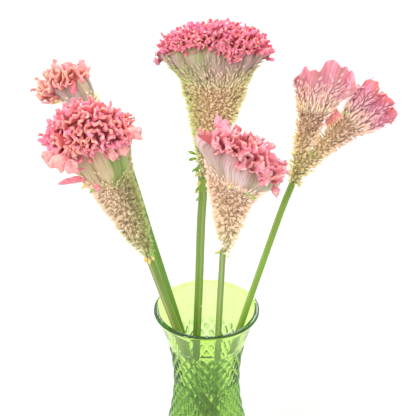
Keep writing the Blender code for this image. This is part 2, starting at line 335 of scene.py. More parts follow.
rings, colour_depths = vase_rings()
points, faces = skin(rings, (0, 0, GLASS_FLOOR), (0, 0, FOOT_HOLLOW))
vase = solid("glass_vase", points, faces, glass, {"colour_depth": colour_depths})
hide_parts("vase")
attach(vase, "root")

# Water: still tap water up to the vase's waist, drawn a little up the glass at its edge. It touches
# the glass all round, and the stems stand in it.
WATER_LEVEL = 155.0
MENISCUS = 0.5
WATER_SIDES = 96
# The water reaches this far into the glass, so that no film of air shows between them
WATER_OVERLAP = 0.12


def water_rings():
    """Rings from the middle of the surface over its raised edge and down the glass to the floor."""
    edge = smooth_value(VASE_OUTLINE, WATER_LEVEL) - WALL + WATER_OVERLAP
    profile = [(8.0, WATER_LEVEL), (16.0, WATER_LEVEL), (24.0, WATER_LEVEL), (edge - 1.6, WATER_LEVEL + 0.02),
               (edge - 0.7, WATER_LEVEL + 0.4 * MENISCUS), (edge, WATER_LEVEL + MENISCUS)]
    low = GLASS_FLOOR + FLOOR_CORNER
    for height in np.linspace(WATER_LEVEL, low, 36)[1:]:
        profile.append((smooth_value(VASE_OUTLINE, height) - WALL + WATER_OVERLAP, height))
    centre = smooth_value(VASE_OUTLINE, low) - WALL - FLOOR_CORNER
    for angle in (-30, -60, -90):
        profile.append((centre + (FLOOR_CORNER + WATER_OVERLAP) * math.cos(math.radians(angle)),
                        low + (FLOOR_CORNER + WATER_OVERLAP) * math.sin(math.radians(angle))))
    profile.append((centre / 2, GLASS_FLOOR - WATER_OVERLAP))
    around = circle(WATER_SIDES)
    return [np.column_stack([around * radius, np.full(WATER_SIDES, height)]) for radius, height in profile]


water_clear, tree, surface = blank_material("vase_water")
bumpy(tree, surface, noise(tree, object_place(tree), 25.0, 2.0), 0.03, 0.001)
feed(tree, surface, {"Base Color": (0.97, 1.0, 0.93), "Roughness": 0.0, "IOR": 1.33,
                     "Transmission Weight": 1.0})

points, faces = skin(water_rings(), (0, 0, WATER_LEVEL), (0, 0, GLASS_FLOOR - WATER_OVERLAP))
water = solid("water_in_vase", points, faces, water_clear)
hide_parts("water")
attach(water, "root")

# Stems: fresh green stalks, ribbed along their length, cut straight at the foot. They stand on the
# vase's floor, lean on its collar and widen a little where the florets begin.

# Radius, then points along the middle: to the right, backward and up from the centre of the vase's foot
STEMS = {
    "back": (4.1, [(-17.3, 20.0, 10.0), (-13.7, 20.0, 100.0), (-11.4, 20.0, 155.0), (-8.0, 20.0, 235.0),
                   (-5.3, 21.0, 316.0)]),
    "front": (3.0, [(3.6, -17.5, 10.0), (6.9, -19.0, 100.0), (8.9, -20.0, 155.0), (11.9, -22.0, 235.0)]),
    "left": (3.9, [(27.0, -5.0, 10.0), (8.3, -9.5, 100.0), (-8.4, -13.0, 155.0), (-32.4, -19.0, 235.0)]),
    "far_left": (3.9, [(22.5, 5.2, 10.0), (1.1, 3.0, 100.0), (-12.4, 1.0, 155.0), (-31.9, -2.0, 235.0),
                       (-53.4, 0.0, 318.0), (-65.5, 4.0, 364.8), (-76.8, 6.0, 405.8)]),
    "right": (3.2, [(-17.6, 11.5, 10.0), (5.7, 11.0, 100.0), (18.8, 4.0, 155.0), (37.4, -8.0, 235.0),
                    (67.4, -8.0, 342.7)]),
}
# Where the florets begin, and the lean away from the viewer for each mm that the head rises
HEADS = {
    "back": ((-3.4, 22.4, 354.3), 0.05),
    "front": ((15.3, -26.9, 316.2), -0.10),
    "left": ((-53.3, -30.7, 313.2), -0.25),
    "far_left": ((-87.7, 8.0, 425.3), 0.0),
    "right": ((79.2, -8.0, 380.1), 0.05),
}
# Tilt of a head's foot to the right, in degrees
FIRST_TILT = {"back": 1, "front": 4, "left": -15, "far_left": -30, "right": 18}
# Skin, rib and stripe colours
STEM_COLOURS = {
    "back": ((0.14, 0.27, 0.03), (0.27, 0.41, 0.08), (0.36, 0.46, 0.14)),
    "front": ((0.17, 0.28, 0.055), (0.29, 0.41, 0.11), (0.37, 0.45, 0.17)),
    "left": ((0.13, 0.24, 0.03), (0.25, 0.36, 0.06), (0.46, 0.38, 0.20)),
    "far_left": ((0.10, 0.24, 0.02), (0.19, 0.36, 0.045), (0.24, 0.38, 0.07)),
    "right": ((0.15, 0.30, 0.02), (0.28, 0.44, 0.06), (0.34, 0.48, 0.11)),
}
STEM_SIDES = 44
STEM_RIBS = 11
STEM_RIB_RISE = 0.055
STEM_STEP = 3.0


def head_frame(head):
    """Base point of a head, and its sideways, rising and backward directions."""
    base, lean = HEADS[head]
    rising = np.array((0.0, lean, 1.0)) / math.hypot(lean, 1.0)
    sideways = np.array((1.0, 0.0, 0.0))
    return np.array(base), sideways, rising, np.cross(rising, sideways)


def curve_through(keys, steps):
    """Rows of numbers on a smooth curve through the given rows."""
    keys = np.vstack([2 * keys[0] - keys[1], keys, 2 * keys[-1] - keys[-2]])
    t = np.linspace(0, 1, steps, endpoint=False)[:, None]
    rows = []
    for before, start, end, after in zip(keys, keys[1:], keys[2:], keys[3:]):
        rows.append(0.5 * (2 * start + (end - before) * t
                           + (2 * before - 5 * start + 4 * end - after) * t ** 2
                           + (3 * start - before - 3 * end + after) * t ** 3))
    return np.vstack([*rows, keys[-2:-1]])


def evened(rows, gaps, spacing, least):
    """Evenly spaced rows of a curve whose own rows lie the given gaps apart."""
    length = np.concatenate([[0], np.cumsum(gaps)])
    places = np.linspace(0, length[-1], max(int(length[-1] / spacing), least) + 1)
    return np.column_stack([np.interp(places, length, column) for column in rows.T])


def path_frames(path):
    """Tangent and two crosswise directions along a path, turning as little as possible."""
    tangents = np.gradient(path, axis=0)
    tangents /= np.linalg.norm(tangents, axis=1)[:, None]
    side = np.cross(tangents[0], (0.0, 1.0, 0.0))
    sides = []
    for tangent in tangents:
        side = side - tangent * side.dot(tangent)
        side /= np.linalg.norm(side)
        sides.append(side)
    sides = np.array(sides)
    return tangents, sides, np.cross(tangents, sides)


def stem_path(name):
    """A stem's radius and middle line, from its cut foot into the first florets."""
    radius, points = STEMS[name]
    base, sideways, rising, _ = head_frame(name)
    tilt = math.radians(FIRST_TILT[name])
    normal = sideways * math.sin(tilt) + rising * math.cos(tilt)
    rows = curve_through(np.array([*points, base - normal * 6.0, base + normal * 1.5]), 24)
    path = evened(rows, np.linalg.norm(np.diff(rows, axis=0), axis=1), STEM_STEP, 4)
    # A leaning stem is cut shorter, so that the whole edge of its foot clears the vase's floor
    start = (path[1] - path[0]) / np.linalg.norm(path[1] - path[0])
    path[0] = path[0] + start * (0.3 + radius * math.sqrt(1 - start[2] ** 2)) / start[2]
    return radius, path


def effect(name, inputs, outputs, kind="ShaderNodeTree"):
    """Node group with named inputs and outputs: its tree, what it is given, and its output node."""
    group = bpy.data.node_groups.new(name, kind)
    for direction, sockets in (("INPUT", inputs), ("OUTPUT", outputs)):
        for socket, titles in sockets.items():
            for title in titles:
                group.interface.new_socket(title, in_out=direction, socket_type="NodeSocket" + socket)
    return group, wire(group, "NodeGroupInput").outputs, wire(group, "NodeGroupOutput")


def placed(tree, group, values):
    """Puts an effect into a material with its own values."""
    return wire(tree, "ShaderNodeGroup", values, node_tree=group).outputs


def steps_of(tree, value, first, *further):
    """Colours that follow each other: each further one is (start, end, colour) along the value."""
    for start, end, colour in further:
        first = blend(tree, share_of(tree, value, start, end), first, colour)
    return first


def translucent(weight, radius, scale):
    """Values of a surface that light shines a little way into."""
    return {"Subsurface Weight": weight, "Subsurface Radius": radius, "Subsurface Scale": scale}


rind, given, put_out = effect("ribbed_stalk", {
    "Vector": ["Place"], "Float": ["Rib", "Stripe"], "Color": ["Skin", "Ribs", "Stripes"]},
    {"Color": ["Colour"], "Float": ["Height"]})
streaks = wire(rind, "ShaderNodeMapping", {"Vector": given["Place"], "Scale": (1.0, 1.0, 0.12)}).outputs[0]
grain = noise(rind, streaks, 420.0, 3.0)
shade = calc(rind, "MULTIPLY_ADD", given["Rib"], grain, noise(rind, streaks, 60.0, 2.0))
colour = steps_of(rind, shade, given["Skin"], (0.24, 1.21, given["Ribs"]))
feed(rind, put_out, {"Colour": blend(rind, given["Stripe"], colour, given["Stripes"]), "Height": grain})


def stem_material(name):
    """Fresh green skin with paler ribs and a few long stripes, each stem in its own greens."""
    material, tree, surface = blank_material("stem_skin_" + name)
    values = dict(zip(("Skin", "Ribs", "Stripes"), STEM_COLOURS[name]))
    values |= {"Place": object_place(tree), "Rib": number(tree, "rib"), "Stripe": number(tree, "stripe")}
    look = placed(tree, rind, values)
    bumpy(tree, surface, look["Height"], 0.25, 0.0004)
    feed(tree, surface, {"Base Color": look["Colour"], "Roughness": 0.48}
         | translucent(0.15, (0.4, 0.8, 0.2), 0.002))
    return material


stem_paths = {}
for stem_number, name in enumerate(STEMS):
    radius, path = stem_path(name)
    stem_paths[name] = path
    tangents, sides, ups = path_frames(path)
    turn = full_turn(STEM_SIDES)
    share = np.linspace(0, 1, len(path))
    rib = 0.5 + 0.5 * np.cos(STEM_RIBS * turn[None, :] + 1.2 * np.sin(3 * share[:, None] + stem_number))
    stripe = np.clip(np.cos(3 * turn[None, :] + stem_number + 0.8 * share[:, None]) * 2.2 - 1.2, 0, 1)
    swell = 1.0 + 0.02 * np.sin(9 * share + stem_number)
    bulk = radius * swell[:, None] * (1 - STEM_RIB_RISE + STEM_RIB_RISE * 2 * (rib ** 0.8 - 0.5))
    rings = (path[:, None, :] + sides[:, None, :] * (bulk * np.cos(turn))[:, :, None]
             + ups[:, None, :] * (bulk * np.sin(turn))[:, :, None])
    points, faces = skin(rings, path[0] - tangents[0] * 0.2, path[-1])
    numbers = {"rib": np.append(rib.ravel(), (0.5, 0.5)), "stripe": np.append(stripe.ravel(), (0, 0))}
    stem = solid("stalk_" + name, points, faces, stem_material(name), numbers)
    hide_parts("stem_" + name)
    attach(stem, "root")

# Floret cones: a fleshy core under each crest, set all over with dry papery florets, each a bud with
# narrow pointed tepals. They grow out of the core from the stem up to the crest's pleated sheets.

# Each cone as rings from its foot: sideways, along, tilt in degrees, half width and half depth
FLORETS = {
    "back": [(0.0, 0.0, 1, 4.3, 4.3), (0.6, 16.0, 2, 5.6, 5.6), (1.2, 31.0, 3, 7.8, 7.6),
             (4.7, 52.0, 4, 12.8, 11.0), (8.4, 72.0, 3, 20.0, 14.5), (10.4, 92.0, 2, 26.0, 17.0),
             (12.0, 110.0, 1, 29.5, 18.0)],
    "front": [(0.0, 0.0, 4, 3.7, 3.7), (3.6, 8.0, 10, 6.4, 6.4), (4.0, 28.0, 16, 11.5, 11.0),
              (5.4, 51.0, 24, 17.6, 15.0), (6.8, 68.0, 28, 22.6, 17.0), (9.2, 82.0, 30, 27.2, 18.0)],
    "left": [(0.0, 0.0, -15, 4.3, 4.3), (-2.2, 9.0, -15, 6.2, 6.2), (-9.4, 30.0, -16, 10.6, 10.4),
             (-15.4, 48.0, -16, 13.6, 12.8), (-23.4, 74.0, -15, 17.2, 15.0), (-31.4, 101.0, -15, 20.4, 17.0)],
    "far_left": [(0.0, 0.0, -30, 4.2, 4.2), (-9.5, 11.0, -30, 7.5, 6.5), (-20.0, 22.0, -27, 12.6, 9.0)],
    "right": [(0.8, 0.0, 18, 6.4, 5.6), (6.4, 14.0, 22, 10.2, 8.0), (12.0, 27.0, 24, 14.8, 9.4)],
}
# The right cone forks: each branch starts this far along the fork's top, then has its own rings
BRANCHES = {
    "right_upper": (-7.3, [(8.6, 42.0, 6, 9.8, 9.0), (12.4, 56.0, 7, 12.2, 9.2), (16.6, 72.0, 9, 14.6, 9.4)]),
    "right_side": (7.3, [(26.8, 36.0, 45, 9.4, 9.0), (38.0, 46.6, 49, 11.2, 9.2),
                         (52.0, 60.0, 50, 14.0, 9.4)]),
}
BRANCH_HALF_WIDTH = 7.0
BRANCH_HALF_DEPTH = 8.8
CONE_SIDES = 72
CONE_STEP = 1.6
CORE_INSET = 3.2
CORE_TOP_INSET = 0.9
# Share of each cone's height where its florets begin; below it the cone is bare green stem
BARE_FOOT = {"back": 0.13}
NO_BARE_FOOT = -0.1
BARE_BLEND = 0.06
BARE_INSET = 0.3
FLORET_LENGTH = 6.6
FLORET_SPACING = 1.9
TEPAL_WIDTH = 1.35
MIDDLE_WIDTH = 1.2
FLORET_SIZES = (0.72, 1.15)
# Most florets that a surface is offered, as a share of one for each square of their spacing
FLORET_CROWD = 1.6
# Painted glow: the papery tepals give off a little light of their own, in place of the light that they pass
# on
FLORET_PAINTED_GLOW = 0.12
# Base, middle and top colours of the florets, then their tints on the left and the right side
FLORET_COLOURS = {
    "back": ((0.74, 0.76, 0.48), (0.95, 0.79, 0.57), (0.93, 0.76, 0.57), (0.74, 0.92, 0.56),
             (0.84, 0.96, 0.72)),
    "front": ((0.82, 0.80, 0.56), (0.95, 0.79, 0.61), (0.95, 0.75, 0.63), (1.04, 0.98, 0.98),
              (1.04, 1.04, 1.04)),
    "left": ((0.60, 0.64, 0.28), (0.84, 0.72, 0.52), (0.90, 0.74, 0.60), (0.98, 0.92, 0.90),
             (0.46, 0.60, 0.25)),
    "far_left": ((0.86, 0.84, 0.48), (0.94, 0.84, 0.58), (0.94, 0.78, 0.60), WHITE, WHITE),
    "right": ((0.80, 0.78, 0.44), (0.86, 0.72, 0.50), (0.76, 0.54, 0.44), (1.04, 1.04, 0.86),
              (1.10, 1.0, 1.08)),
}


def head_of(part):
    return "right" if part.startswith("right") else part


def shifted(section, shift, half_width, half_depth):
    """A section in the same plane as another, moved along its width."""
    sideways_at, along_at, tilt = section[:3]
    angle = math.radians(tilt)
    return (sideways_at + shift * math.cos(angle), along_at - shift * math.sin(angle), tilt,
            half_width, half_depth)


def floret_sections(part):
    if part not in BRANCHES:
        return FLORETS[part]
    shift, further = BRANCHES[part]
    return [shifted(FLORETS["right"][-1], shift, BRANCH_HALF_WIDTH, BRANCH_HALF_DEPTH)] + further


def fill_in(sections, spacing):
    """Sections along a smooth curve through the given ones."""
    rows = curve_through(np.array(sections, float), 16)
    return evened(rows, np.hypot(*np.diff(rows[:, :2], axis=0).T), spacing, 3)


def section_frames(head, sections):
    """Centres and the width, depth and normal directions of many sections."""
    base, sideways, rising, backward = head_frame(head)
    angle = np.radians(sections[:, 2])[:, None]
    centre = base + sideways * sections[:, :1] + rising * sections[:, 1:2]
    width = sideways * np.cos(angle) - rising * np.sin(angle)
    normal = sideways * np.sin(angle) + rising * np.cos(angle)
    return centre, width, np.broadcast_to(backward, centre.shape), normal


def lumps(seed, *coordinates):
    """Smooth uneven number near -1 to 1 over the given coordinates."""
    rng = np.random.default_rng(seed)
    total = 0.0
    for octave in range(5):
        phase = rng.uniform(0, math.tau)
        weights = rng.normal(0, 1, len(coordinates))
        total = total + np.sin(phase + sum(w * c for w, c in zip(weights, coordinates)) * (1 + 0.5 * octave))
    return total / 2.5


def unit(vectors):
    return vectors / (np.linalg.norm(vectors, axis=-1)[..., None] + 1e-12)


def growing_way(rings, upward):
    """Directions of growth on a skin of rings: out of it and partly along it."""
    along = unit(np.gradient(rings, axis=0))
    around = np.roll(rings, -1, 1) - np.roll(rings, 1, 1)
    outward = unit(np.cross(around, along))
    middle = rings.mean(axis=1, keepdims=True)
    if np.mean(np.sum(outward * (rings - middle), axis=-1)) < 0:
        outward = -outward
    return outward * (1 - 0.6 * upward) + along * upward


def pointed_leaf(length, width, bend, reach):
    """Closed narrow tepal standing on the origin and bending outwards."""
    ring = [(width * 0.5, 0.0), (-width * 0.25, width * 0.3), (-width * 0.25, -width * 0.3)]
    points = [(reach * 0.2, 0.0, 0.0)]
    points += [(reach + bend * 0.35 + x * 0.4, y * 1.6, length * 0.45) for x, y in ring]
    points += [(reach * 0.7 + bend, 0.0, length)]
    faces = [(0, b + 1, a + 1) for a, b in ((0, 1), (1, 2), (2, 0))]
    faces += [(4, a + 1, b + 1) for a, b in ((0, 1), (1, 2), (2, 0))]
    return np.array(points), faces


def floret(name, tepals, length, bend):
    """One floret along +Z: tepals round a pointed middle, with a tip number from 0 to 1."""
    points, faces, tips = [], [], []
    leaves = [(pointed_leaf(length, TEPAL_WIDTH, bend, 0.45), i / tepals * math.tau) for i in range(tepals)]
    leaves.append((pointed_leaf(length * 0.9, MIDDLE_WIDTH, 0.0, 0.0), 0.4))
    for (leaf, leaf_faces), turn in leaves:
        turned = leaf.copy()
        turned[:, 0] = leaf[:, 0] * math.cos(turn) - leaf[:, 1] * math.sin(turn)
        turned[:, 1] = leaf[:, 0] * math.sin(turn) + leaf[:, 1] * math.cos(turn)
        faces += [tuple(len(points) + i for i in face) for face in leaf_faces]
        points += turned.tolist()
        tips += (leaf[:, 2] / length).tolist()
    return solid(name, points, faces, floor_white, {"tip": tips}, smooth=False)


def spike_tree():
    """Sets small shapes over a surface, each along the surface's own grow direction."""
    tree, given, put_out = effect("florets_on_core", {
        "Geometry": ["Geometry"], "Object": ["First Shape", "Second Shape"],
        "Float": ["Spacing", "Size", "Spread"], "Int": ["Seed"], "Bool": ["Smooth"],
        "Material": ["Material"]}, {"Geometry": ["Geometry"]}, "GeometryNodeTree")

    def noted(name, kind="FLOAT"):
        """A number or direction that the surface carries."""
        made = wire(tree, "GeometryNodeInputNamedAttribute", {"Name": name}, data_type=kind)
        return made.outputs["Attribute"]

    def chance(kind, at, low, high):
        """Random value between two limits; at is the place of the first limit's socket."""
        return wire(tree, "FunctionNodeRandomValue", {at: low, at + 1: high, "Seed": given["Seed"]},
                    data_type=kind).outputs[at // 2]

    crowd = calc(tree, "DIVIDE", FLORET_CROWD, calc(tree, "MULTIPLY", given["Spacing"], given["Spacing"]))
    spots = wire(tree, "GeometryNodeDistributePointsOnFaces",
                 {"Mesh": given["Geometry"], "Distance Min": given["Spacing"], "Density Max": crowd,
                  "Density Factor": noted("cover"), "Seed": given["Seed"]}, distribute_method="POISSON")
    shaken = wire(tree, "ShaderNodeVectorMath",
                  {0: chance("FLOAT_VECTOR", 0, (-1.0, -1.0, -1.0), (1.0, 1.0, 1.0)),
                   "Scale": given["Spread"]}, operation="SCALE").outputs[0]
    aim = wire(tree, "ShaderNodeVectorMath", {0: noted("grow", "FLOAT_VECTOR"), 1: shaken},
               operation="ADD").outputs[0]
    upright = wire(tree, "FunctionNodeAlignRotationToVector", {"Vector": aim}, axis="Z").outputs[0]
    spin = wire(tree, "FunctionNodeAxisAngleToRotation",
                {"Axis": (0.0, 0.0, 1.0), "Angle": chance("FLOAT", 2, 0.0, math.tau)}).outputs[0]
    turned = wire(tree, "FunctionNodeRotateRotation", {"Rotation": upright, "Rotate By": spin},
                  rotation_space="LOCAL").outputs[0]
    scale = calc(tree, "MULTIPLY", chance("FLOAT", 2, *FLORET_SIZES), given["Size"])
    scale = calc(tree, "MULTIPLY", scale, noted("bulk"))
    kinds = wire(tree, "GeometryNodeJoinGeometry")
    for name in ("Second Shape", "First Shape"):
        kind = wire(tree, "GeometryNodeObjectInfo", {"Object": given[name], "As Instance": True})
        tree.links.new(kind.outputs["Geometry"], kinds.inputs[0])
    made = wire(tree, "GeometryNodeInstanceOnPoints",
                {"Points": spots.outputs["Points"], "Instance": kinds.outputs[0], "Pick Instance": True,
                 "Instance Index": chance("INT", 4, 0, 1), "Rotation": turned, "Scale": scale})
    made = wire(tree, "GeometryNodeStoreNamedAttribute",
                {"Geometry": made.outputs[0], "Name": "tone", "Value": chance("FLOAT", 2, 0.0, 1.0)},
                data_type="FLOAT", domain="INSTANCE")
    made = wire(tree, "GeometryNodeRealizeInstances", {"Geometry": made.outputs[0]})
    made = wire(tree, "GeometryNodeRemoveAttribute", {"Geometry": made.outputs[0], "Name": "grow"})
    made = wire(tree, "GeometryNodeSetShadeSmooth",
                {"Geometry": made.outputs[0], "Shade Smooth": given["Smooth"]})
    made = wire(tree, "GeometryNodeSetMaterial", {"Geometry": made.outputs[0], "Material": given["Material"]})
    feed(tree, put_out, {"Geometry": made.outputs[0]})
    return tree


def grown_on(core, name, shapes, material, spacing, size, spread, seed, smooth=False):
    """Plain mesh of the shapes that grow over a core, all in one material."""
    settings = {"First Shape": shapes[0], "Second Shape": shapes[1], "Spacing": spacing * MM, "Size": size,
                "Spread": spread, "Seed": seed, "Smooth": smooth, "Material": material}
    modifier = core.modifiers.new("grown", "NODES")
    modifier.node_group = florets_on_core
    for item in florets_on_core.interface.items_tree:
        if item.item_type == "SOCKET" and item.in_out == "INPUT" and item.name in settings:
            modifier[item.identifier] = settings[item.name]
    bpy.context.view_layer.update()
    evaluated = core.evaluated_get(bpy.context.evaluated_depsgraph_get())
    mesh = bpy.data.meshes.new_from_object(evaluated)
    core.modifiers.remove(modifier)
    for key in ("grow", "cover", "bulk"):
        core.data.attributes.remove(core.data.attributes[key])
    item = bpy.data.objects.new(name, mesh)
    bpy.context.scene.collection.objects.link(item)
    return item


def wandering(tree, value, patches):
    """A value moved up and down in patches, by a quarter at most."""
    return calc(tree, "SUBTRACT", calc(tree, "MULTIPLY_ADD", patches, 0.5, value), 0.25)


def tinted(tree, colour, *tints):
    """A colour multiplied by each tint in turn."""
    for tint in tints:
        colour = blend(tree, 1.0, colour, tint, "MULTIPLY")
    return colour


papery, given, put_out = effect("papery_tepals", {
    "Vector": ["Place"], "Float": ["Zone", "Tip", "Tone", "Side", "From Zone", "To Zone"],
    "Color": ["Low", "Middle", "High", "Left Tint", "Right Tint", "Painted Foot Shade"]}, {"Color": ["Colour"]})
drift = wandering(papery, given["Zone"], noise(papery, given["Place"], 90.0, 2.0))
drift = share_of(papery, drift, given["From Zone"], given["To Zone"])
colour = steps_of(papery, drift, given["Low"], (0.0, 0.5, given["Middle"]), (0.5, 1.0, given["High"]))
lift = ramp(papery, given["Tone"], [(0.0, (0.10, 0.07, 0.04)), (0.03, (0.12, 0.09, 0.05)),
                                    (0.045, (0.90, 0.88, 0.82)), (1.0, (1.1, 1.09, 1.06))])
# Painted shade at each tepal's foot among the crowded florets; towards the tip partly the tepals' own paler
# tone, partly painted highlight
shade = steps_of(papery, given["Tip"], given["Painted Foot Shade"], (0.0, 0.45, (0.96, 0.95, 0.92)),
                 (0.45, 1.0, (1.12, 1.1, 1.08)))
tint = steps_of(papery, given["Side"], given["Left Tint"], (-0.9, -0.18, WHITE),
                (0.18, 0.9, given["Right Tint"]))
feed(papery, put_out, {"Colour": tinted(papery, colour, lift, shade, tint)})


def floret_material(name, colours, from_zone, to_zone, dark=0.64):
    """Dry tepals, coloured by their place on the head, darkened at the foot as painted shade, paler at the
    tip partly in their own tone and partly as painted highlight, with a faint painted glow and a dark seed
    here and there.
    """
    material, tree, surface = blank_material(name)
    values = dict(zip(("Low", "Middle", "High", "Left Tint", "Right Tint"), colours))
    values |= {title: number(tree, title.lower()) for title in ("Zone", "Tip", "Tone", "Side")}
    # dark sets the painted shade at the tepals' feet
    values |= {"Place": object_place(tree), "From Zone": from_zone, "To Zone": to_zone,
               "Painted Foot Shade": (dark, dark * 0.96, dark * 0.76)}
    colour = placed(tree, papery, values)["Colour"]
    # The tepals glow faintly in their own colour: painted light
    feed(tree, surface, {"Base Color": colour, "Emission Color": colour, "Emission Strength": FLORET_PAINTED_GLOW,
                         "Roughness": 0.55, "Sheen Weight": 0.2} | translucent(0.5, (1.0, 0.85, 0.55), 0.002))
    return material


fleshy, given, put_out = effect("pitted_core", {
    "Vector": ["Place"], "Float": ["Zone", "Bare Below"], "Color": ["Stalk", "Low", "Middle", "High"]},
    {"Color": ["Colour"], "Float": ["Height"]})
cells = wire(fleshy, "ShaderNodeTexVoronoi", {"Vector": given["Place"], "Scale": 500.0}).outputs["Distance"]
covered = calc(fleshy, "SUBTRACT", given["Zone"], given["Bare Below"])
colour = steps_of(fleshy, given["Zone"], given["Low"], (0.05, 0.45, given["Middle"]),
                  (0.45, 0.9, given["High"]))
colour = steps_of(fleshy, covered, given["Stalk"], (0.0, 0.05, colour))
pit = ramp(fleshy, cells, [(0.0, (0.86, 0.78, 0.64)), (0.7, (0.46, 0.38, 0.28))])
pit = steps_of(fleshy, covered, WHITE, (-0.02, 0.02, pit))
feed(fleshy, put_out, {"Colour": tinted(fleshy, colour, pit), "Height": cells})


def core_material(head):
    """Fleshy tissue between the florets, in a deeper shade of their colour, set with small pits."""
    material, tree, surface = blank_material("floret_core_" + head)
    values = dict(zip(("Low", "Middle", "High"), FLORET_COLOURS[head]))
    values |= {"Place": object_place(tree), "Zone": number(tree, "zone"), "Stalk": STEM_COLOURS[head][1],
               "Bare Below": BARE_FOOT.get(head, NO_BARE_FOOT)}
    look = placed(tree, fleshy, values)
    bumpy(tree, surface, look["Height"], 0.6, 0.001)
    feed(tree, surface, {"Base Color": look["Colour"], "Roughness": 0.8})
    return material


def cone_core(part, seed):
    """Rings of a cone's core, with each point's share of the cone's height and direction of growth."""
    head = head_of(part)
    sections = fill_in(floret_sections(part), CONE_STEP)
    centre, width, depth, normal = section_frames(head, sections)
    turn = full_turn(CONE_SIDES)
    share = np.linspace(0, 1, len(sections))
    near_top = np.clip((share - 0.7) / 0.3, 0, 1) if part != "right" else 0 * share
    bare = np.clip((BARE_FOOT.get(part, NO_BARE_FOOT) + BARE_BLEND - share) / BARE_BLEND, 0, 1)
    inset = ((CORE_INSET + (CORE_TOP_INSET - CORE_INSET) * near_top ** 2) * (1 - bare)
             + BARE_INSET * bare)
    unevenness = 1 + 0.05 * lumps(seed, 2.2 * np.cos(turn)[None, :], 2.2 * np.sin(turn)[None, :],
                                  9 * share[:, None])
    half_width = np.maximum(sections[:, 3] - inset, 2.0)[:, None] * unevenness
    half_depth = np.maximum(sections[:, 4] - inset, 2.0)[:, None] * unevenness
    across = width[:, None, :] * np.cos(turn)[None, :, None]
    inward = depth[:, None, :] * np.sin(turn)[None, :, None]
    rings = centre[:, None, :] + across * half_width[:, :, None] + inward * half_depth[:, :, None]
    upward = (0.46 + 0.40 * near_top)[:, None, None]
    grow = growing_way(rings, upward)
    rings[0] -= normal[0] * 0.6
    return head, rings, grow, share, turn, near_top


open_floret = floret("floret_open", 4, FLORET_LENGTH, 1.15)
closed_floret = floret("floret_closed", 3, FLORET_LENGTH * 0.95, 0.3)
florets_on_core = spike_tree()
floret_skins = {head: floret_material("floret_tepals_" + head, FLORET_COLOURS[head], 0.05, 0.85)
                for head in FLORETS}
core_skins = {head: core_material(head) for head in FLORETS}
for cone_number, part in enumerate([*FLORETS, *BRANCHES]):
    head, rings, grow, share, turn, near_top = cone_core(part, 40 + cone_number)
    points, faces = skin(rings)
    zone = np.repeat(share[:, None], len(turn), 1)
    if part in BRANCHES:
        zone = 0.3 + 0.7 * zone
    elif part == "right":
        zone = 0.3 * zone
    side = np.broadcast_to(np.cos(turn), zone.shape)
    size = np.broadcast_to((0.78 + 0.22 * np.clip(share / 0.2, 0, 1) - 0.1 * near_top)[:, None], zone.shape)
    cover = np.clip((zone - BARE_FOOT.get(part, NO_BARE_FOOT)) / 0.05, 0, 1)
    numbers = {"grow": grow.reshape(-1, 3), "zone": zone.ravel(), "side": side.ravel(),
               "cover": cover.ravel(), "bulk": size.ravel()}
    core = solid("cone_" + part, points, faces, core_skins[head], numbers)
    spikes = grown_on(core, "spikes_" + part, (open_floret, closed_floret), floret_skins[head],
                      spacing=FLORET_SPACING, size=1.0, spread=0.32, seed=7 + cone_number)
    for piece in (core, spikes):
        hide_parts("florets_" + part)
        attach(piece, "root")

# Pleated sheets: above its florets each head spreads into one thick sheet of fused stems, pale and
# silky, pleated lengthwise, with long florets lying along its foot. It carries the crest on its rim.

# Rings as for the cones
FANS = {
    "back": [(10.5, 121.0, 0, 36.0, 17.0), (9.4, 134.0, 0, 46.0, 16.5)],
    "front": [(10.8, 91.0, 33, 36.0, 15.6), (11.6, 99.0, 35, 44.0, 14.0)],
    "left": [(-38.0, 127.0, -15, 28.0, 19.0)],
    "far_left": [(-30.5, 39.5, -24, 16.5, 12.0)],
}
# Share of the sheet's height where its florets start to thin out, and where the last ones stand
FAN_COVER = {"back": (0.22, 0.84), "front": (0.0, 0.36), "left": (0.0, 0.5), "far_left": (0.0, 0.5)}
# How many pleats go round each sheet, and their depth as a share of its half width
FAN_PLEATS = {"back": (15, 0.05), "front": (6, 0.12), "left": (9, 0.08), "far_left": (8, 0.10)}
# Foot, middle and rim colours of the sheets, a darker rim partly its own mauve and partly painted shade under
# the crest, then a green flush and the direction that it faces
FAN_COLOURS = {
    "back": ((0.64, 0.52, 0.38), (0.50, 0.36, 0.33), (0.40, 0.26, 0.25), (0.42, 0.44, 0.22), 252),
    "front": ((0.72, 0.58, 0.46), (0.66, 0.50, 0.48), (0.72, 0.44, 0.46), (0.52, 0.50, 0.34), 330),
    "left": ((0.66, 0.52, 0.32), (0.58, 0.46, 0.26), (0.58, 0.38, 0.26), (0.32, 0.44, 0.11), 322),
    "far_left": ((0.62, 0.58, 0.40), (0.52, 0.42, 0.38), (0.46, 0.28, 0.28), (0.58, 0.54, 0.36), 330),
}
# Colours of the florets that run up the sheets, as for the cones
STREAK_COLOURS = {
    "back": ((0.86, 0.72, 0.54), (0.74, 0.58, 0.50), (0.58, 0.42, 0.42), (0.70, 0.92, 0.50),
             (0.80, 0.96, 0.66)),
    "front": ((0.98, 0.80, 0.66), (0.96, 0.78, 0.76), (0.94, 0.74, 0.76), WHITE, WHITE),
    "left": ((0.88, 0.74, 0.54), (0.76, 0.62, 0.42), (0.66, 0.54, 0.36), (1.05, 0.95, 0.95), (0.7, 0.9, 0.5)),
    "far_left": ((0.88, 0.84, 0.56), (0.90, 0.76, 0.62), (0.90, 0.70, 0.62), WHITE, WHITE),
}
STREAK_SIZE = 1.1
FAN_SIDES = 288
FAN_STEP = 1.0
# Scale of the fine lengthwise lines round a sheet, on its sides and its faces, and up it
FAN_LINES = (36, 22, 1.8)
# Each crest stands on its sheet: shift along the sheet's rim, half width, half depth and rise
CRESTS = {
    "back": (0.0, 57.5, 16.0, 31.0),
    "front": (-2.0, 50.5, 15.0, 27.0),
    "left": (-2.5, 40.5, 22.0, 58.0),
    "far_left": (-5.5, 28.5, 15.0, 29.0),
}
